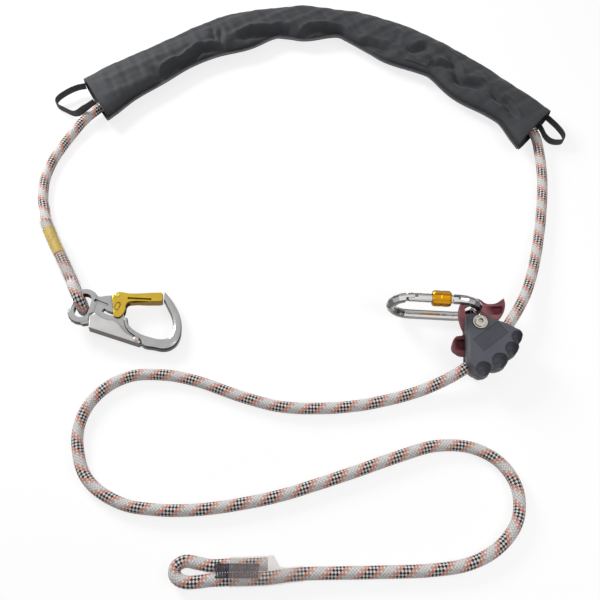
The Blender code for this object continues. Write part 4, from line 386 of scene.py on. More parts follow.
def sleeve_section(half):
    """Offsets across and up for one ring, from the piped edge over the top and back beneath."""
    edge = half + SEAM_WIDTH - PIPING_RADIUS
    flange = np.linspace(0, 1, FLANGE_COLUMNS, endpoint=False)
    lift = FLANGE_LIFT * (1 - flange)
    top = np.linspace(0, 1, TOP_COLUMNS)
    bottom = np.linspace(1, 0, BOTTOM_COLUMNS + 2)[1:-1]
    power = 1.15 - 0.55 * np.clip(top * 1.6, 0, 1)
    top_across = half * np.sign(np.cos(np.pi * top)) * np.abs(np.cos(np.pi * top)) ** 0.85
    top_up = FLANGE_HALF * (1 - top) + SLEEVE_HEIGHT / 2 * np.sin(np.pi * top) ** power
    low_across = half * np.sign(np.cos(np.pi * bottom)) * np.abs(np.cos(np.pi * bottom)) ** 0.85
    flange_rise = FLANGE_HALF * (1 - bottom)
    low_up = -flange_rise - (SLEEVE_HEIGHT / 2 - flange_rise) * np.sin(np.pi * bottom) ** 0.75
    across = np.concatenate([edge + (half - edge) * flange, top_across, low_across, half + (edge - half) * flange])
    up = np.concatenate([FLANGE_HALF + lift, top_up, low_up, -FLANGE_HALF + lift[::-1]])
    return across, up


def sleeve_grid():
    """The sleeve's outer surface: rows along it, columns round it, and the rope's place in it."""
    stations = smooth_route(SLEEVE_STATIONS, CLOTH_SPACING)
    centres, halves = stations[:, :2], stations[:, 2]
    along = unit(np.gradient(centres, axis=0))
    side = np.stack([along[:, 1], -along[:, 0]], axis=1)
    lengths = np.concatenate([[0], np.cumsum(np.linalg.norm(np.diff(centres, axis=0), axis=1))])
    from_left, from_right = lengths, lengths[-1] - lengths
    degrees = LEFT_END_SKEW_DEGREES * np.clip(1 - from_left / SKEW_REACH, 0, 1)
    degrees = degrees + RIGHT_END_SKEW_DEGREES * np.clip(1 - from_right / SKEW_REACH, 0, 1)
    side = side + along * np.tan(np.radians(degrees))[:, None]
    sections = [sleeve_section(half) for half in halves]
    across = np.array([a for a, _ in sections])
    up = np.array([u for _, u in sections])
    x = centres[:, 0, None] + side[:, 0, None] * across
    y = centres[:, 1, None] + side[:, 1, None] * across
    over = np.zeros(across.shape[1])
    over[FLANGE_COLUMNS : FLANGE_COLUMNS + TOP_COLUMNS] = np.sin(np.pi * np.linspace(0, 1, TOP_COLUMNS)) ** 0.35
    near_end = np.clip(np.minimum(from_left, from_right) / 0.03, 0, 1)[:, None]
    drop = crease_depth(x, y) * over * near_end
    for first, second, phase, size in RIPPLES:
        drop = drop + size * over**3 * near_end * np.sin(first * x + second * y + phase)
    low_share = np.clip(-up / (SLEEVE_HEIGHT / 2), 0, 1)
    hem = np.clip((HEM_WIDTH - np.minimum(from_left, from_right)) / 0.0012, 0, 1)[:, None]
    z = SLEEVE_MIDDLE + up - drop + hem * 0.0005 * np.sign(up) * (1 - low_share)
    rope = np.array([p[:3] for p in smooth_route(lifted(MAIN_ROUTE), CLOTH_SPACING)])
    rope = rope[np.argsort(rope[:, 0])]
    rope_y = np.interp(x, rope[:, 0], rope[:, 1])
    rope_z = np.interp(x, rope[:, 0], rope[:, 2])
    clear = ROPE_RADIUS + CLOTH_WALL + 0.0009
    shoulder = np.sqrt(np.clip(clear**2 - (y - rope_y) ** 2 * 0.75, 0, None))
    inside = slice(FLANGE_COLUMNS, FLANGE_COLUMNS + TOP_COLUMNS)
    floor = np.where(shoulder > 0, rope_z + shoulder, 0)
    z[:, inside] = np.maximum(z[:, inside], floor[:, inside] * (over[inside] > 0.3))
    return np.stack([x, y, z], axis=2), centres, lengths


def doubled(outer, centres):
    """The inner rings of a wall, drawn in from the outer ones."""
    inner = outer.copy()
    middle = np.concatenate([centres, np.full((len(centres), 1), SLEEVE_MIDDLE)], axis=1)[:, None, :]
    offset = outer - middle
    half = np.abs(np.linalg.norm(offset[:, FLANGE_COLUMNS + TOP_COLUMNS - 1, :2], axis=1))[:, None]
    reach = np.linalg.norm(offset[:, :, :2], axis=2)
    plan = np.minimum(1, half / np.maximum(reach, 0.001)) * (half - CLOTH_WALL) / half
    inner[:, :, :2] = middle[:, :, :2] + offset[:, :, :2] * plan[:, :, None]
    inner[:, :, 2] = SLEEVE_MIDDLE + offset[:, :, 2] * (1 - 2 * CLOTH_WALL / SLEEVE_HEIGHT)
    inner[:, :FLANGE_COLUMNS, 2] = SLEEVE_MIDDLE + 0.0002
    inner[:, FLANGE_COLUMNS + TOP_COLUMNS + BOTTOM_COLUMNS :, 2] = SLEEVE_MIDDLE - 0.0002
    return inner


def walled_mesh(name, outer, inner, lengths):
    """A tube with a wall: the outer rings, then the inner ones back, joined at both ends."""
    rows = np.concatenate([outer, inner[::-1]])
    count, columns = rows.shape[:2]
    steps = np.linalg.norm(np.diff(outer[len(outer) // 2], axis=0), axis=1)
    around = np.concatenate([[0], np.cumsum(steps), [steps.sum() + 0.002]])
    v_values = np.concatenate([lengths, lengths[::-1], lengths[:1]])
    r, c = np.meshgrid(np.arange(count), np.arange(columns), indexing="ij")
    following, turned = (r + 1) % count, (c + 1) % columns
    here, ahead = r * columns, following * columns
    quads = np.stack([here + c, here + turned, ahead + turned, ahead + c], axis=-1)
    mesh = bpy.data.meshes.new(name)
    mesh.from_pydata(rows.reshape(-1, 3).tolist(), [], quads.reshape(-1, 4).tolist())
    layer = mesh.uv_layers.new(name="UVMap")
    u = np.stack([around[c], around[c + 1], around[c + 1], around[c]], axis=-1)
    v = np.stack([v_values[r], v_values[r], v_values[r + 1], v_values[r + 1]], axis=-1)
    layer.data.foreach_set("uv", np.stack([u, v], axis=-1).reshape(-1))
    mesh.shade_smooth()
    return mesh


def on_grid(grid, rows, columns):
    """Points on a grid at fractional rows and columns."""
    r0 = np.clip(rows.astype(int), 0, grid.shape[0] - 2)
    c0 = np.clip(columns.astype(int), 0, grid.shape[1] - 2)
    fr, fc = (rows - r0)[..., None], (columns - c0)[..., None]
    near = grid[r0, c0] * (1 - fc) + grid[r0, c0 + 1] * fc
    far = grid[r0 + 1, c0] * (1 - fc) + grid[r0 + 1, c0 + 1] * fc
    return near * (1 - fr) + far * fr


def tube_mesh(name, points, radius, columns=10, start=0.0):
    sides, ups = carried_frames(points)
    angle = 2 * np.pi * np.arange(columns) / columns
    around = np.cos(angle)[None, :, None] * sides[:, None] + np.sin(angle)[None, :, None] * ups[:, None]
    radius = np.broadcast_to(np.asarray(radius), (len(points),))
    grid = points[:, None] + around * radius[:, None, None]
    lengths = start + np.concatenate([[0], np.cumsum(np.linalg.norm(np.diff(points, axis=0), axis=1))])
    return grid_mesh(name, grid, np.arange(columns) / columns, lengths)


def even(points, spacing):
    """The same line, at an even spacing."""
    lengths = np.concatenate([[0], np.cumsum(np.linalg.norm(np.diff(points, axis=0), axis=1))])
    marks = np.linspace(0, lengths[-1], max(2, round(lengths[-1] / spacing) + 1))
    return np.stack([np.interp(marks, lengths, points[:, k]) for k in range(3)], axis=1)


def stitch_parts(line, radius=THREAD_RADIUS):
    """Points and faces of short threads, one after another along a line."""
    knots = even(np.asarray(line), STITCH_PITCH / 4)
    points, faces = [], []
    sides, ups = carried_frames(knots)
    angle = 2 * np.pi * np.arange(6) / 6
    for start in range(0, len(knots) - 4, 4):
        base = len(points)
        for index, share in ((0, 0.35), (1, 1.0), (2, 1.0), (3, 0.35)):
            place = start + index * STITCH_LENGTH / STITCH_PITCH * 4 / 3
            low = int(place)
            centre = knots[low] + (knots[low + 1] - knots[low]) * (place - low)
            ring = np.cos(angle)[:, None] * sides[low] + np.sin(angle)[:, None] * ups[low]
            points += (centre + ring * radius * share).tolist()
        for row in range(3):
            for i in range(6):
                a, b = base + row * 6 + i, base + row * 6 + (i + 1) % 6
                faces.append((a, b, b + 6, a + 6))
        faces.append(tuple(base + 5 - i for i in range(6)))
        faces.append(tuple(base + 18 + i for i in range(6)))
    return points, faces


def make_stitches(name, lines, material, body="lanyard", radius=THREAD_RADIUS):
    points, faces = [], []
    for line in lines:
        more, sheets = stitch_parts(line, radius)
        faces += [tuple(i + len(points) for i in face) for face in sheets]
        points += more
    mesh = bpy.data.meshes.new(name)
    mesh.from_pydata(points, [], faces)
    mesh.shade_smooth()
    return add_piece(name, mesh, body, material)


def raised(points, rise):
    higher = points.copy()
    higher[:, 2] += rise
    return higher


def make_sleeve(looks):
    grid, centres, lengths = sleeve_grid()
    mesh = walled_mesh("sleeve_cloth", grid, doubled(grid, centres), lengths)
    parts = ("sleeve", "sleeve_end_left", "sleeve_end_right", "sleeve_hem_left", "sleeve_hem_right")
    cloth = add_piece("sleeve_cloth", mesh, "lanyard", looks["cloth"], parts)
    tip = (grid[:, 0] + grid[:, -1]) / 2
    piping = tube_mesh("sleeve_piping", even(tip, 0.0012), PIPING_RADIUS)
    add_piece("sleeve_piping", piping, "lanyard", looks["piping"], ("sleeve_seam",))
    lines = []
    rows = len(grid)
    first_top, last_top = FLANGE_COLUMNS, FLANGE_COLUMNS + TOP_COLUMNS
    for near in (0.0072, 0.0094):
        for row in (np.interp(near, lengths, np.arange(rows)), np.interp(lengths[-1] - near, lengths, np.arange(rows))):
            columns = np.arange(1, last_top + BOTTOM_COLUMNS, 0.5)
            line = on_grid(grid, np.full(len(columns), row), columns)
            lines.append(raised(line, 0.00012))
    seam_line = grid[2:-2, first_top - 1]
    lines.append(raised(seam_line, 0.00015))
    make_stitches("sleeve_stitches", lines, looks["stitch"])
    make_tag(grid, lengths, looks["tag"])


def make_tag(grid, lengths, material):
    """A bare woven tag, sewn flat on the cloth above the seam."""
    middle = lengths[-1] * TAG_PLACE_SHARE
    marks = np.linspace(middle - TAG_LENGTH / 2, middle + TAG_LENGTH / 2, 40)
    rows = np.interp(marks, lengths, np.arange(len(lengths)))
    ring = grid[int(rows[20]), FLANGE_COLUMNS : FLANGE_COLUMNS + TOP_COLUMNS]
    arc = np.concatenate([[0], np.cumsum(np.linalg.norm(np.diff(ring, axis=0), axis=1))])
    start = np.interp(TOP_COLUMNS * 0.26, np.arange(len(arc)), arc) - TAG_WIDTH / 2
    columns = FLANGE_COLUMNS + np.interp(np.linspace(start, start + TAG_WIDTH, 14), arc, np.arange(len(arc)))
    patch = on_grid(grid, np.repeat(rows[:, None], 14, 1), np.repeat(columns[None], 40, 0))
    for _ in range(6):
        patch[1:-1, 1:-1] = (patch[:-2, 1:-1] + patch[2:, 1:-1] + patch[1:-1, :-2] + patch[1:-1, 2:]) / 4
    normal = unit(np.cross(np.gradient(patch, axis=0), np.gradient(patch, axis=1)))
    normal = normal * np.sign(normal[..., 2:3])
    over, under = patch + normal * 0.0010, patch + normal * 0.0002
    rings = np.concatenate([over, under[:, ::-1]], axis=1)
    mesh = grid_mesh("sewn_tag", rings, np.linspace(0, 0.02, rings.shape[1]), marks)
    add_piece("sewn_tag", mesh, "lanyard", material, ("sleeve_tag",))


def make_bound_stitching(material):
    """The end eye's stitching: close threads across both strands, in a leaning zigzag."""
    x, y = STITCHING_CENTRE
    top = ROPE_RADIUS + (ADJUSTER_HALF_THICKNESS - ROPE_RADIUS) * 0.10 + ROPE_RADIUS
    lines = []
    for i in range(STITCHING_THREADS):
        across = np.linspace(-1, 1, 9)
        start = x - STITCHING_LENGTH / 2 + STITCHING_LENGTH * (i + 0.5) / STITCHING_THREADS
        lean = STITCHING_LENGTH / STITCHING_THREADS * (0.9 if i % 2 else -0.9)
        crown = top + 0.0011 - 0.0011 * np.abs(across) ** 3
        lines.append(np.stack([start + lean * across, y + STITCHING_WIDTH / 2 * across, crown], axis=1))
    for share in (-0.86, 0.86):
        ends = np.linspace(-STITCHING_LENGTH / 2, STITCHING_LENGTH / 2, 30)
        across = np.full(30, y + STITCHING_WIDTH / 2 * share)
        lines.append(np.stack([x + ends, across, np.full(30, top + 0.0010)], axis=1))
    meshes = [tube_mesh("stitching", line, 0.00052, 8) for line in lines]
    points, faces, count = [], [], 0
    for mesh in meshes:
        points += [tuple(v.co) for v in mesh.vertices]
        faces += [tuple(i + count for i in p.vertices) for p in mesh.polygons]
        count = len(points)
    joined = bpy.data.meshes.new("bound_stitching")
    joined.from_pydata(points, [], faces)
    joined.shade_smooth()
    add_piece("bound_stitching", joined, "lanyard", material, ("end_stitching",))


def make_strap(name, route, material, node):
    """A strap of webbing on edge, with rounded selvedges."""
    points = smooth_route(route, 0.0008)
    along = unit(np.gradient(points, axis=0))
    side = unit(np.cross(along, (0, 0, 1)))
    above = np.cross(side, along)
    high, wide = WEBBING_WIDTH / 2, WEBBING_THICKNESS / 2
    count = 24
    ring = []
    for i in range(count):
        angle = 2 * math.pi * (i + 0.5) / count
        up = math.copysign(min(1, abs(math.sin(angle)) * 1.35), math.sin(angle)) * high
        out = math.copysign(abs(math.cos(angle)) ** 0.35, math.cos(angle)) * wide
        ring.append((up, out))
    lengths = np.concatenate([[0], np.cumsum(np.linalg.norm(np.diff(points, axis=0), axis=1))])
    ribs = 1 + 0.10 * np.sin(2 * np.pi * lengths / 0.0016)
    grid = np.stack([points + above * up + side * (out * ribs)[:, None] for up, out in ring], axis=1)
    mesh = grid_mesh(name, grid, np.linspace(0, 0.021, count, endpoint=False), lengths)
    add_piece(name, mesh, "lanyard", material, (node,))


# Gate details and the adjuster's panel


def surface_of(node):
    """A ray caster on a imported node's mesh."""
    mesh = nodes[node].data
    return BVHTree.FromPolygons([tuple(v.co) for v in mesh.vertices], [tuple(p.vertices) for p in mesh.polygons])


def laid_on(node, outline, rise):
    """Points in plan, dropped onto a node's upper surface."""
    tree = surface_of(node)
    found = []
    for x, y in outline:
        hit = tree.ray_cast(Vector((x, y, 0.2)), Vector((0, 0, -1)))[0]
        found.append((x, y, (hit.z if hit else found[-1][2]) + rise))
    return found


def make_groove(name, node, outline, body, material, radius):
    """A pressed line round an outline, as a thin bead half sunk in the surface."""
    closed = list(outline) + [outline[0]]
    plan = smooth_route([(x, y, 0) for x, y in closed], 0.0004)
    points = np.array(laid_on(node, [tuple(p[:2]) for p in plan], 0.0))
    points[:, 2] = np.median(points[:, 2])
    add_piece(name, tube_mesh(name, points, radius, 8), body, material)


def make_recess_shade(name, node, outline, body, material):
    """Painted shade of a recess: a thin plate with its outline on the surface and a sunk middle."""
    closed = list(outline) + [outline[0]]
    plan = smooth_route([(x, y, 0) for x, y in closed], 0.0005)[:-1]
    points = np.array(laid_on(node, [tuple(p[:2]) for p in plan], 0.0))
    level = np.median(points[:, 2])
    centre = points.mean(axis=0)
    rings = []
    for share, rise in ((1.0, -0.0001), (1.0, 0.00008), (0.92, 0.00010), (0.70, 0.00004)):
        ring = centre + (points - centre) * share
        ring[:, 2] = level + rise
        rings.append(ring)
    grid = np.array(rings)
    mesh = grid_mesh(name, grid, np.linspace(0, 1, len(points), endpoint=False), np.arange(4) * 0.001)
    add_piece(name, mesh, body, material)


def make_panel(material):
    """A bare plate set into the front shell's recess."""
    tilt = math.radians(PANEL_TILT_DEGREES)
    wide, tall = (share * SHELL_SIZE - 2 * SEAT_GAP for share in PANEL_SIZE_SHARES)
    centre = [a + share * SHELL_SIZE for a, share in zip(ADJUSTER_AXIS, PANEL_CENTRE_SHARES)]
    corner = 0.0008
    outline = []
    for turn in range(4):
        sx, sy = ((1, 1), (-1, 1), (-1, -1), (1, -1))[turn]
        for step in range(5):
            angle = math.pi / 2 * (turn + step / 4)
            x = sx * (wide / 2 - corner) + corner * math.cos(angle)
            y = sy * (tall / 2 - corner) + corner * math.sin(angle)
            outline.append((x * math.cos(tilt) - y * math.sin(tilt), x * math.sin(tilt) + y * math.cos(tilt)))
    top = 2 * ADJUSTER_HALF_THICKNESS - PANEL_DEPTH
    rings = []
    for share, rise in ((1.0, 0.00002), (1.0, 0.00030), (0.985, 0.00038), (0.5, 0.00038)):
        rings.append([(centre[0] + x * share, centre[1] + y * share, top + rise) for x, y in outline])
    grid = np.array(rings)
    mesh = grid_mesh("shell_panel", grid, np.linspace(0, 1, len(outline), endpoint=False), np.arange(4) * 0.001)
    mesh.shade_flat()
    add_piece("shell_panel", mesh, "lanyard", material)


def make_gate_marks(groove_shade_gold):
    # painted shade: both marks are in a dark gold that stands for the shade in the gate's groove and recess
    make_groove("hook_gate_oval", "hook_gate", GATE_OVAL, "hook_gate_arm", groove_shade_gold, 0.00038)
    make_recess_shade("hook_gate_recess_shade", "hook_gate", GATE_RECESS, "hook_gate_arm", groove_shade_gold)


# Materials


class Look:
    """A Principled material and short calls to add nodes to it."""

    def __init__(self, name, colour, roughness, metallic=0.0, **constants):
        self.material = bpy.data.materials.new(name)
        self.material.use_nodes = True
        self.tree = self.material.node_tree
        self.surface = self.tree.nodes["Principled BSDF"]
        self.set("Base Color", (*colour, 1))
        self.set("Roughness", roughness)
        self.set("Metallic", metallic)
        for key, value in constants.items():
            self.set(key.replace("_", " "), value)
        self.material.diffuse_color = (*colour, 1)

    def set(self, socket, value):
        self.surface.inputs[socket].default_value = value

    def node(self, kind):
        return self.tree.nodes.new("ShaderNode" + kind)

    def link(self, source, target):
        self.tree.links.new(source, target)

    def feed(self, socket, source):
        if isinstance(source, (int, float, tuple)):
            socket.default_value = source
        else:
            self.link(source, socket)

    def math(self, operation, a, b=0.0):
        made = self.node("Math")
        made.operation = operation
        self.feed(made.inputs[0], a)
        self.feed(made.inputs[1], b)
        return made.outputs[0]

    def mix(self, share, a, b, blend="MIX"):
        made = self.node("MixRGB")
        made.blend_type = blend
        self.feed(made.inputs[0], share)
        self.feed(made.inputs[1], a)
        self.feed(made.inputs[2], b)
        return made.outputs[0]

    def ramp(self, source, stops, constant=False):
        made = self.node("ValToRGB")
        band = made.color_ramp
        band.interpolation = "CONSTANT" if constant else "LINEAR"
        while len(band.elements) < len(stops):
            band.elements.new(0.5)
        for element, (place, colour) in zip(band.elements, stops):
            element.position = place
            element.color = (*colour, 1) if len(colour) == 3 else colour
        self.link(source, made.inputs[0])
        return made.outputs[0]

    def place(self, scale=(1, 1, 1), kind="Object", rotation=(0, 0, 0)):
        coordinates = self.node("TexCoord")
        mapping = self.node("Mapping")
        mapping.inputs["Scale"].default_value = scale
        mapping.inputs["Rotation"].default_value = rotation
        self.link(coordinates.outputs[kind], mapping.inputs["Vector"])
        return mapping.outputs[0]

    def noise(self, vector, scale, detail=3.0, roughness=0.55):
        made = self.node("TexNoise")
        self.link(vector, made.inputs["Vector"])
        made.inputs["Scale"].default_value = scale
        made.inputs["Detail"].default_value = detail
        made.inputs["Roughness"].default_value = roughness
        return made.outputs["Fac"]

    def bump(self, height, distance, strength=1.0):
        made = self.node("Bump")
        made.inputs["Strength"].default_value = strength
        made.inputs["Distance"].default_value = distance
        self.link(height, made.inputs["Height"])
        self.link(made.outputs[0], self.surface.inputs["Normal"])
        return made.outputs[0]

    def colour(self, source):
        self.link(source, self.surface.inputs["Base Color"])

    def roughness(self, source):
        self.link(source, self.surface.inputs["Roughness"])


def grey(value):
    return (value, value, value)


WHITE_YARN = (0.90, 0.875, 0.865)
PALE_YARN = (0.82, 0.45, 0.35)
PINK_YARN = (0.88, 0.65, 0.59)
ORANGE_YARN = (0.86, 0.22, 0.11)
BLACK_YARN = (0.012, 0.011, 0.012)


def braid_look(name="rope braid"):
    """A diamond braid from the rope's own UV map: share of a turn, and length along."""
    look = Look(name, WHITE_YARN, 0.82)
    split = look.node("SeparateXYZ")
    look.link(look.node("TexCoord").outputs["UV"], split.inputs[0])
    turn, along = split.outputs[0], split.outputs[1]
    ratio = look.math("DIVIDE", along, BRAID_TURN)
    first = look.math("MULTIPLY", look.math("SUBTRACT", turn, ratio), STRANDS)
    second = look.math("MULTIPLY", look.math("ADD", turn, ratio), STRANDS)
    floors = [look.math("FLOOR", s) for s in (first, second)]
    shares = [look.math("SUBTRACT", s, f) for s, f in zip((first, second), floors)]
    total = look.math("ADD", *floors)
    over = look.math("FLOORED_MODULO", total, 2.0)
    index = look.math("DIVIDE", look.math("FLOORED_MODULO", floors[0], STRANDS), STRANDS)
    index = look.math("ADD", index, 0.5 / STRANDS)
    stops = (
        (0.0, WHITE_YARN), (0.1, PALE_YARN), (0.2, ORANGE_YARN), (0.3, BLACK_YARN),
        (0.6, ORANGE_YARN), (0.7, PALE_YARN), (0.8, WHITE_YARN),
    )
    tracer = look.ramp(index, stops, constant=True)
    flank = ((0.0, WHITE_YARN), (0.20, PINK_YARN), (0.30, WHITE_YARN), (0.60, PINK_YARN), (0.70, WHITE_YARN))
    plain = look.ramp(index, flank, constant=True)
    colour = look.mix(over, plain, tracer)
    humps = [look.math("SINE", look.math("MULTIPLY", s, math.pi)) for s in shares]
    hump = look.math("POWER", look.math("MULTIPLY", *humps), 0.5)
    waves = [look.math("SINE", look.math("MULTIPLY", s, 6 * math.pi)) for s in shares]
    yarns = look.mix(over, waves[1], waves[0])
    fuzz = look.noise(look.place(), 900.0, 2.0)
    # painted shade: the yarn colour darkens toward the grooves between strands, with yarn lines and random fuzz on top
    shade = look.math("ADD", look.math("MULTIPLY", hump, 0.45), 0.58)
    shade = look.math("ADD", shade, look.math("MULTIPLY", yarns, 0.06))
    shade = look.math("MULTIPLY", shade, look.math("ADD", look.math("MULTIPLY", fuzz, 0.3), 0.85))
    combined = look.mix(1.0, colour, shade, "MULTIPLY")
    look.colour(combined)
    height = look.math("ADD", hump, look.math("MULTIPLY", yarns, 0.12))
    look.bump(height, 0.0004, 0.9)
    look.set("Sheen Weight", 0.15)
    look.set("Sheen Roughness", 0.5)
    return look.material


def metal_look(
    name, colour, roughness, edge=None, side=None, metallic=1.0, cavity_shade=None, painted_reflection=None, specular=0.5
):
    """Metal with fine grain and uneven gloss. Optional tones: a lighter colour on sharp edges, painted shade on upright
    faces, painted shade in hollows, and a painted reflection that darkens a band by view angle.
    """
    spread = 0.05
    look = Look(name, colour, roughness, metallic, Specular_IOR_Level=specular)
    fine = look.noise(look.place((900.0, 60.0, 900.0)), 1.0, 3.0)
    broad = look.noise(look.place(), 55.0, 3.0)
    uneven = look.math("ADD", look.math("MULTIPLY", fine, spread), look.math("MULTIPLY", broad, spread))
    look.roughness(look.math("ADD", uneven, roughness - spread))
    dark = tuple(c * 0.9 for c in colour)
    tone = look.ramp(broad, ((0.35, dark), (0.62, colour)))
    # painted shade: faces that stand upright, such as the side walls, take the darker side colour
    if side:
        normal = look.node("SeparateXYZ")
        look.link(look.node("NewGeometry").outputs["True Normal"], normal.inputs[0])
        level = look.ramp(normal.outputs[2], ((0.35, grey(1)), (0.93, grey(0))))
        tone = look.mix(level, tone, (*side, 1))
    # painted reflection: a dark band by how far the surface turns from the camera, as a studio reflection would give
    if painted_reflection:
        facing = look.node("LayerWeight")
        facing.inputs["Blend"].default_value = 0.5
        stops = ((0.10, grey(1)), (0.30, grey(painted_reflection)), (0.55, grey(painted_reflection * 0.5)), (0.80, grey(0.9)))
        flank = look.ramp(facing.outputs["Facing"], stops)
        tone = look.mix(1.0, tone, flank, "MULTIPLY")
    # painted shade: ambient occlusion darkens the colour in hollows and recesses
    if cavity_shade:
        hollow_shade = look.node("AmbientOcclusion")
        hollow_shade.inputs["Distance"].default_value = cavity_shade
        hollow_shade.samples = 6
        share = look.ramp(hollow_shade.outputs["AO"], ((0.35, grey(0.22)), (0.85, grey(1))))
        tone = look.mix(1.0, tone, share, "MULTIPLY")
    # a lighter colour on sharp edges, by pointiness
    if edge:
        points = look.node("NewGeometry").outputs["Pointiness"]
        edge_share = look.ramp(points, ((0.515, grey(0)), (0.56, grey(1))))
        tone = look.mix(edge_share, tone, (*edge, 1))
    look.colour(tone)
    look.bump(fine, 0.000003, 0.5)
    return look.material


def moulded(name, colour, roughness, relief=0.00008):
    """Moulded plastic with a fine grained surface, and painted shade in its hollows."""
    look = Look(name, colour, roughness)
    grain = look.noise(look.place(), 1500.0, 2.0)
    broad = look.noise(look.place(), 40.0, 3.0)
    pale = tuple(c * 1.18 for c in colour)
    tone = look.ramp(broad, ((0.35, colour), (0.70, pale)))
    # painted shade: ambient occlusion darkens the colour in hollows, such as the shell's scoops
    hollow_shade = look.node("AmbientOcclusion")
    hollow_shade.inputs["Distance"].default_value = 0.008
    hollow_shade.samples = 6
    share = look.ramp(hollow_shade.outputs["AO"], ((0.45, grey(0.45)), (0.95, grey(1))))
    look.colour(look.mix(1.0, tone, share, "MULTIPLY"))
    look.roughness(look.math("ADD", look.math("MULTIPLY", grain, 0.25), roughness - 0.1))
    look.bump(grain, relief, 0.6)
    return look.material


def film_look():
    look = Look("clear shrink film", (0.60, 0.52, 0.49), 0.22, Alpha=0.12, Coat_Weight=0.5)
    broad = look.noise(look.place((120.0, 120.0, 120.0)), 1.0, 3.0)
    look.roughness(look.math("ADD", look.math("MULTIPLY", broad, 0.2), 0.14))
    look.colour(look.ramp(broad, ((0.3, (0.46, 0.38, 0.35)), (0.7, (0.62, 0.53, 0.49)))))
    look.bump(broad, 0.0003, 0.5)
    return look.material


def label_look():
    look = Look("yellow label", (0.80, 0.56, 0.03), 0.5)
    broad = look.noise(look.place(), 220.0, 4.0)
    look.colour(look.ramp(broad, ((0.3, (0.62, 0.42, 0.02)), (0.6, (0.83, 0.60, 0.04)))))
    look.bump(broad, 0.0001, 0.4)
    return look.material


def weave_look(name, colour, roughness, pitch, relief, pale=1.5, shade_creases=False):
    """Plain woven cloth from the piece's UV map, which is in metres."""
    look = Look(name, colour, roughness)
    split = look.node("SeparateXYZ")
    look.link(look.node("TexCoord").outputs["UV"], split.inputs[0])
    waves = []
    for axis in (0, 1):
        turns = look.math("MULTIPLY", split.outputs[axis], 2 * math.pi / pitch)
        waves.append(look.math("SINE", turns))
    cross = look.math("MULTIPLY", *waves)
    broad = look.noise(look.place(), 28.0, 4.0)
    fine = look.noise(look.place(), 700.0, 2.0)
    light = tuple(min(1, c * pale) for c in colour)
    tone = look.ramp(broad, ((0.3, colour), (0.72, light)))
    # painted shade: by pointiness, the colour darkens in the creases
    if shade_creases:
        hollow_shade = look.ramp(look.node("NewGeometry").outputs["Pointiness"], ((0.440, grey(0.35)), (0.497, grey(1))))
        tone = look.mix(1.0, tone, hollow_shade, "MULTIPLY")
    grain = look.math("ADD", look.math("MULTIPLY", cross, 0.14), 1.0)
    grain = look.math("MULTIPLY", grain, look.math("ADD", look.math("MULTIPLY", fine, 0.5), 0.75))
    look.colour(look.mix(1.0, tone, grain, "MULTIPLY"))
    height = look.math("ADD", look.math("MULTIPLY", cross, 0.5), look.math("MULTIPLY", fine, 0.5))
    look.bump(height, relief, 0.7)
    look.set("Sheen Weight", 0.10)
    look.set("Sheen Roughness", 0.45)
    return look.material


def thread_look(name, colour):
    look = Look(name, colour, 0.7)
    fine = look.noise(look.place(), 1400.0, 3.0)
    pale = tuple(min(1, c * 2.2) for c in colour)
    look.colour(look.ramp(fine, ((0.35, colour), (0.7, pale))))
    look.bump(fine, 0.0002, 0.8)
    return look.material


def repaint(material, *names):
    for name in names:
        obj = nodes[name]
        for slot in obj.material_slots:
            slot.material = material


# Stage


def make_camera():
    tilt = math.radians(CAMERA_TILT_DEGREES)
    forward = Vector((0, math.sin(tilt), -math.cos(tilt)))
    data = bpy.data.cameras.new("camera")
    data.lens = CAMERA_LENS_MM
    data.sensor_width = 36.0
    camera = bpy.data.objects.new("camera", data)
    bpy.context.scene.collection.objects.link(camera)
    camera.location = Vector(CAMERA_TARGET) - forward * CAMERA_DISTANCE
    camera.rotation_euler = (-forward).to_track_quat("Z", "Y").to_euler()
    bpy.context.scene.camera = camera


def make_light(name, place, aim, width, depth, energy):
    data = bpy.data.lights.new(name, "AREA")
    data.shape = "RECTANGLE"
    data.size, data.size_y = width, depth
    data.energy = energy
    light = bpy.data.objects.new(name, data)
    bpy.context.scene.collection.objects.link(light)
    light.location = place
    light.rotation_euler = (Vector(place) - Vector(aim)).to_track_quat("Z", "Y").to_euler()


def seen_rays(tree, path):
    """1 for the rays that show the background: the camera's, and those through metal and glass."""
    total = path.outputs["Is Camera Ray"]
    for name in ("Is Glossy Ray", "Is Transmission Ray"):
        either = tree.nodes.new("ShaderNodeMath")
        either.operation = "MAXIMUM"
        tree.links.new(total, either.inputs[0])
        tree.links.new(path.outputs[name], either.inputs[1])
        total = either.outputs[0]
    return total


def make_world():
    """White behind the object and in its metal, and a soft room for the light that falls on it."""
    world = bpy.data.worlds.new("studio")
    bpy.context.scene.world = world
    world.use_nodes = True
    tree = world.node_tree
    background = tree.nodes["Background"]
    path = tree.nodes.new("ShaderNodeLightPath")
    coordinates = tree.nodes.new("ShaderNodeTexCoord")
    split = tree.nodes.new("ShaderNodeSeparateXYZ")
    ramp = tree.nodes.new("ShaderNodeValToRGB")
    mix = tree.nodes.new("ShaderNodeMixRGB")
    tree.links.new(coordinates.outputs["Generated"], split.inputs[0])
    tree.links.new(split.outputs[2], ramp.inputs[0])
    stops = ((0.0, 0.03), (0.38, 0.02), (0.60, 0.30), (0.82, 0.78))
    band = ramp.color_ramp
    while len(band.elements) < len(stops):
        band.elements.new(0.5)
    for element, (place, value) in zip(band.elements, stops):
        element.position = place
        element.color = (value, value, value, 1)
    tree.links.new(seen_rays(tree, path), mix.inputs[0])
    tree.links.new(ramp.outputs[0], mix.inputs[1])
    mix.inputs[2].default_value = (1, 1, 1, 1)
    tree.links.new(mix.outputs[0], background.inputs[0])
    strength = tree.nodes.new("ShaderNodeMath")
    strength.operation = "MULTIPLY_ADD"
    strength.inputs[1].default_value = -0.45
    strength.inputs[2].default_value = 1.0
    tree.links.new(path.outputs["Is Diffuse Ray"], strength.inputs[0])
    tree.links.new(strength.outputs[0], background.inputs[1])


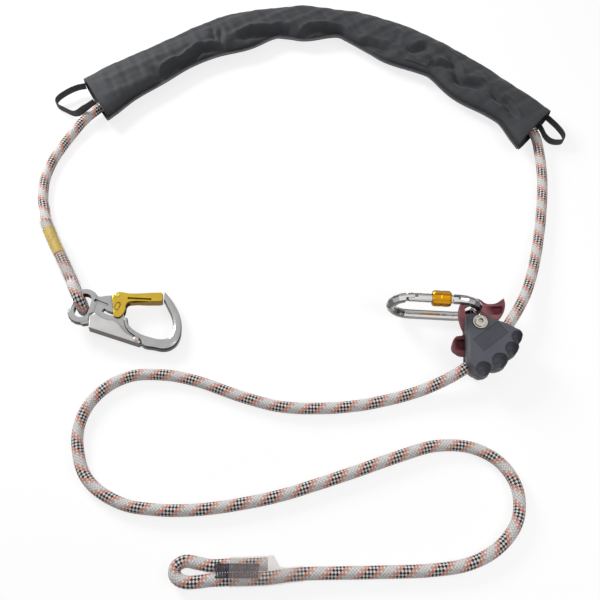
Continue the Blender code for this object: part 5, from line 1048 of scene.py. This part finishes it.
def make_floor():
    mesh = bpy.data.meshes.new("floor")
    mesh.from_pydata([(-4, -4, -0.0002), (4, -4, -0.0002), (4, 4, -0.0002), (-4, 4, -0.0002)], [], [(0, 1, 2, 3)])
    floor = bpy.data.objects.new("floor", mesh)
    bpy.context.scene.collection.objects.link(floor)
    material = bpy.data.materials.new("pale floor")
    material.use_nodes = True
    tree = material.node_tree
    tree.nodes.remove(tree.nodes["Principled BSDF"])
    output = tree.nodes["Material Output"]
    path = tree.nodes.new("ShaderNodeLightPath")
    plain = tree.nodes.new("ShaderNodeBsdfDiffuse")
    plain.inputs[0].default_value = (0.80, 0.80, 0.80, 1)
    seen = tree.nodes.new("ShaderNodeBsdfDiffuse")
    seen.inputs[0].default_value = (0.26, 0.26, 0.26, 1)
    glow = tree.nodes.new("ShaderNodeEmission")
    glow.inputs[1].default_value = 0.80
    both = tree.nodes.new("ShaderNodeAddShader")
    choice = tree.nodes.new("ShaderNodeMixShader")
    tree.links.new(seen.outputs[0], both.inputs[0])
    tree.links.new(glow.outputs[0], both.inputs[1])
    tree.links.new(seen_rays(tree, path), choice.inputs[0])
    tree.links.new(plain.outputs[0], choice.inputs[1])
    tree.links.new(both.outputs[0], choice.inputs[2])
    tree.links.new(choice.outputs[0], output.inputs[0])
    mesh.materials.append(material)


# Scene

make_camera()
make_world()
make_floor()
make_light("key", (-1.00, 0.75, 0.80), (0.0, -0.1, 0.0), 0.55, 0.55, 19.0)
make_light("fill", (0.75, -0.55, 0.85), (0.0, -0.1, 0.0), 0.5, 0.5, 3.0)
bpy.context.scene.view_settings.view_transform = "Standard"

rope_look = braid_look()
ropes = make_rope(rope_look)

# Each metal's name, colour, roughness, tones and nodes; the tones are painted shade on upright faces and in hollows,
# painted reflection bands and lighter edges
METALS = (
    ("zinc plated steel", (0.58, 0.55, 0.50), 0.26, {"cavity_shade": 0.004}, (
        "hook_gate_pin", "adjuster_bolt", "adjuster_washer", "adjuster_nut", "cam_bush",
        "shell_screw_1", "shell_screw_2", "karabiner_hinge_pin", "karabiner_latch_pin",
    )),
    ("forged aluminium", (0.43, 0.435, 0.43), 0.20, {"side": (0.045, 0.045, 0.045), "cavity_shade": 0.005}, ("hook_frame",)),
    ("pressed aluminium", (0.50, 0.49, 0.485), 0.36, {"side": (0.09, 0.075, 0.07)}, ("hook_lever",)),
    ("gold anodised aluminium", (0.60, 0.41, 0.05), 0.24, {"side": (0.20, 0.11, 0.012), "cavity_shade": 0.003}, ("hook_gate",)),
    ("orange anodised aluminium", (0.58, 0.27, 0.012), 0.36, {"cavity_shade": 0.002, "painted_reflection": 0.55}, ("karabiner_nut",)),
    ("polished steel", (0.72, 0.71, 0.70), 0.12, {"painted_reflection": 0.22}, ("karabiner_body", "karabiner_gate")),
    ("gold rivets", (0.80, 0.58, 0.14), 0.28, {}, ("hook_gate_rivet",)),
    ("dull rivet", (0.42, 0.36, 0.33), 0.40, {}, ("hook_lever_rivet",)),
    ("maroon anodised aluminium", (0.110, 0.022, 0.032), 0.50, {
        "edge": (0.30, 0.12, 0.13), "metallic": 0.0, "cavity_shade": 0.006, "specular": 0.15,
    }, ("cam",)),
)
for metal, colour, roughness, tones, painted in METALS:
    repaint(metal_look(metal, colour, roughness, **tones), *painted)

make_gate_marks(metal_look("dark gold", (0.20, 0.115, 0.010), 0.40))
make_panel(moulded("panel nylon", (0.048, 0.050, 0.064), 0.42))
repaint(moulded("grey nylon", (0.078, 0.080, 0.098), 0.55), "adjuster_shell_front", "adjuster_shell_back")
repaint(film_look(), "hook_splice_cover", "end_splice_cover")
repaint(label_look(), "splice_label")
make_bound_stitching(thread_look("grey thread", (0.022, 0.026, 0.040)))
sleeve_looks = {
    "cloth": weave_look("charcoal cloth", (0.020, 0.021, 0.025), 0.74, 0.0009, 0.0001, shade_creases=True),
    # the piped edge is real; its colour, lighter than the cloth's, is a painted highlight along the seam
    "piping": weave_look("charcoal piping", (0.085, 0.085, 0.095), 0.7, 0.0009, 0.0001),
    "tag": weave_look("woven tag", (0.008, 0.008, 0.009), 0.5, 0.0009, 0.0001),
    "stitch": thread_look("charcoal thread", (0.07, 0.07, 0.08)),
}
make_sleeve(sleeve_looks)
webbing = weave_look("black webbing", (0.016, 0.015, 0.016), 0.75, 0.0016, 0.0002)
make_strap("strap_loop_left", LEFT_LOOP_ROUTE, webbing, "pull_loop_left")
make_strap("strap_loop_right", RIGHT_LOOP_ROUTE, webbing, "pull_loop_right")
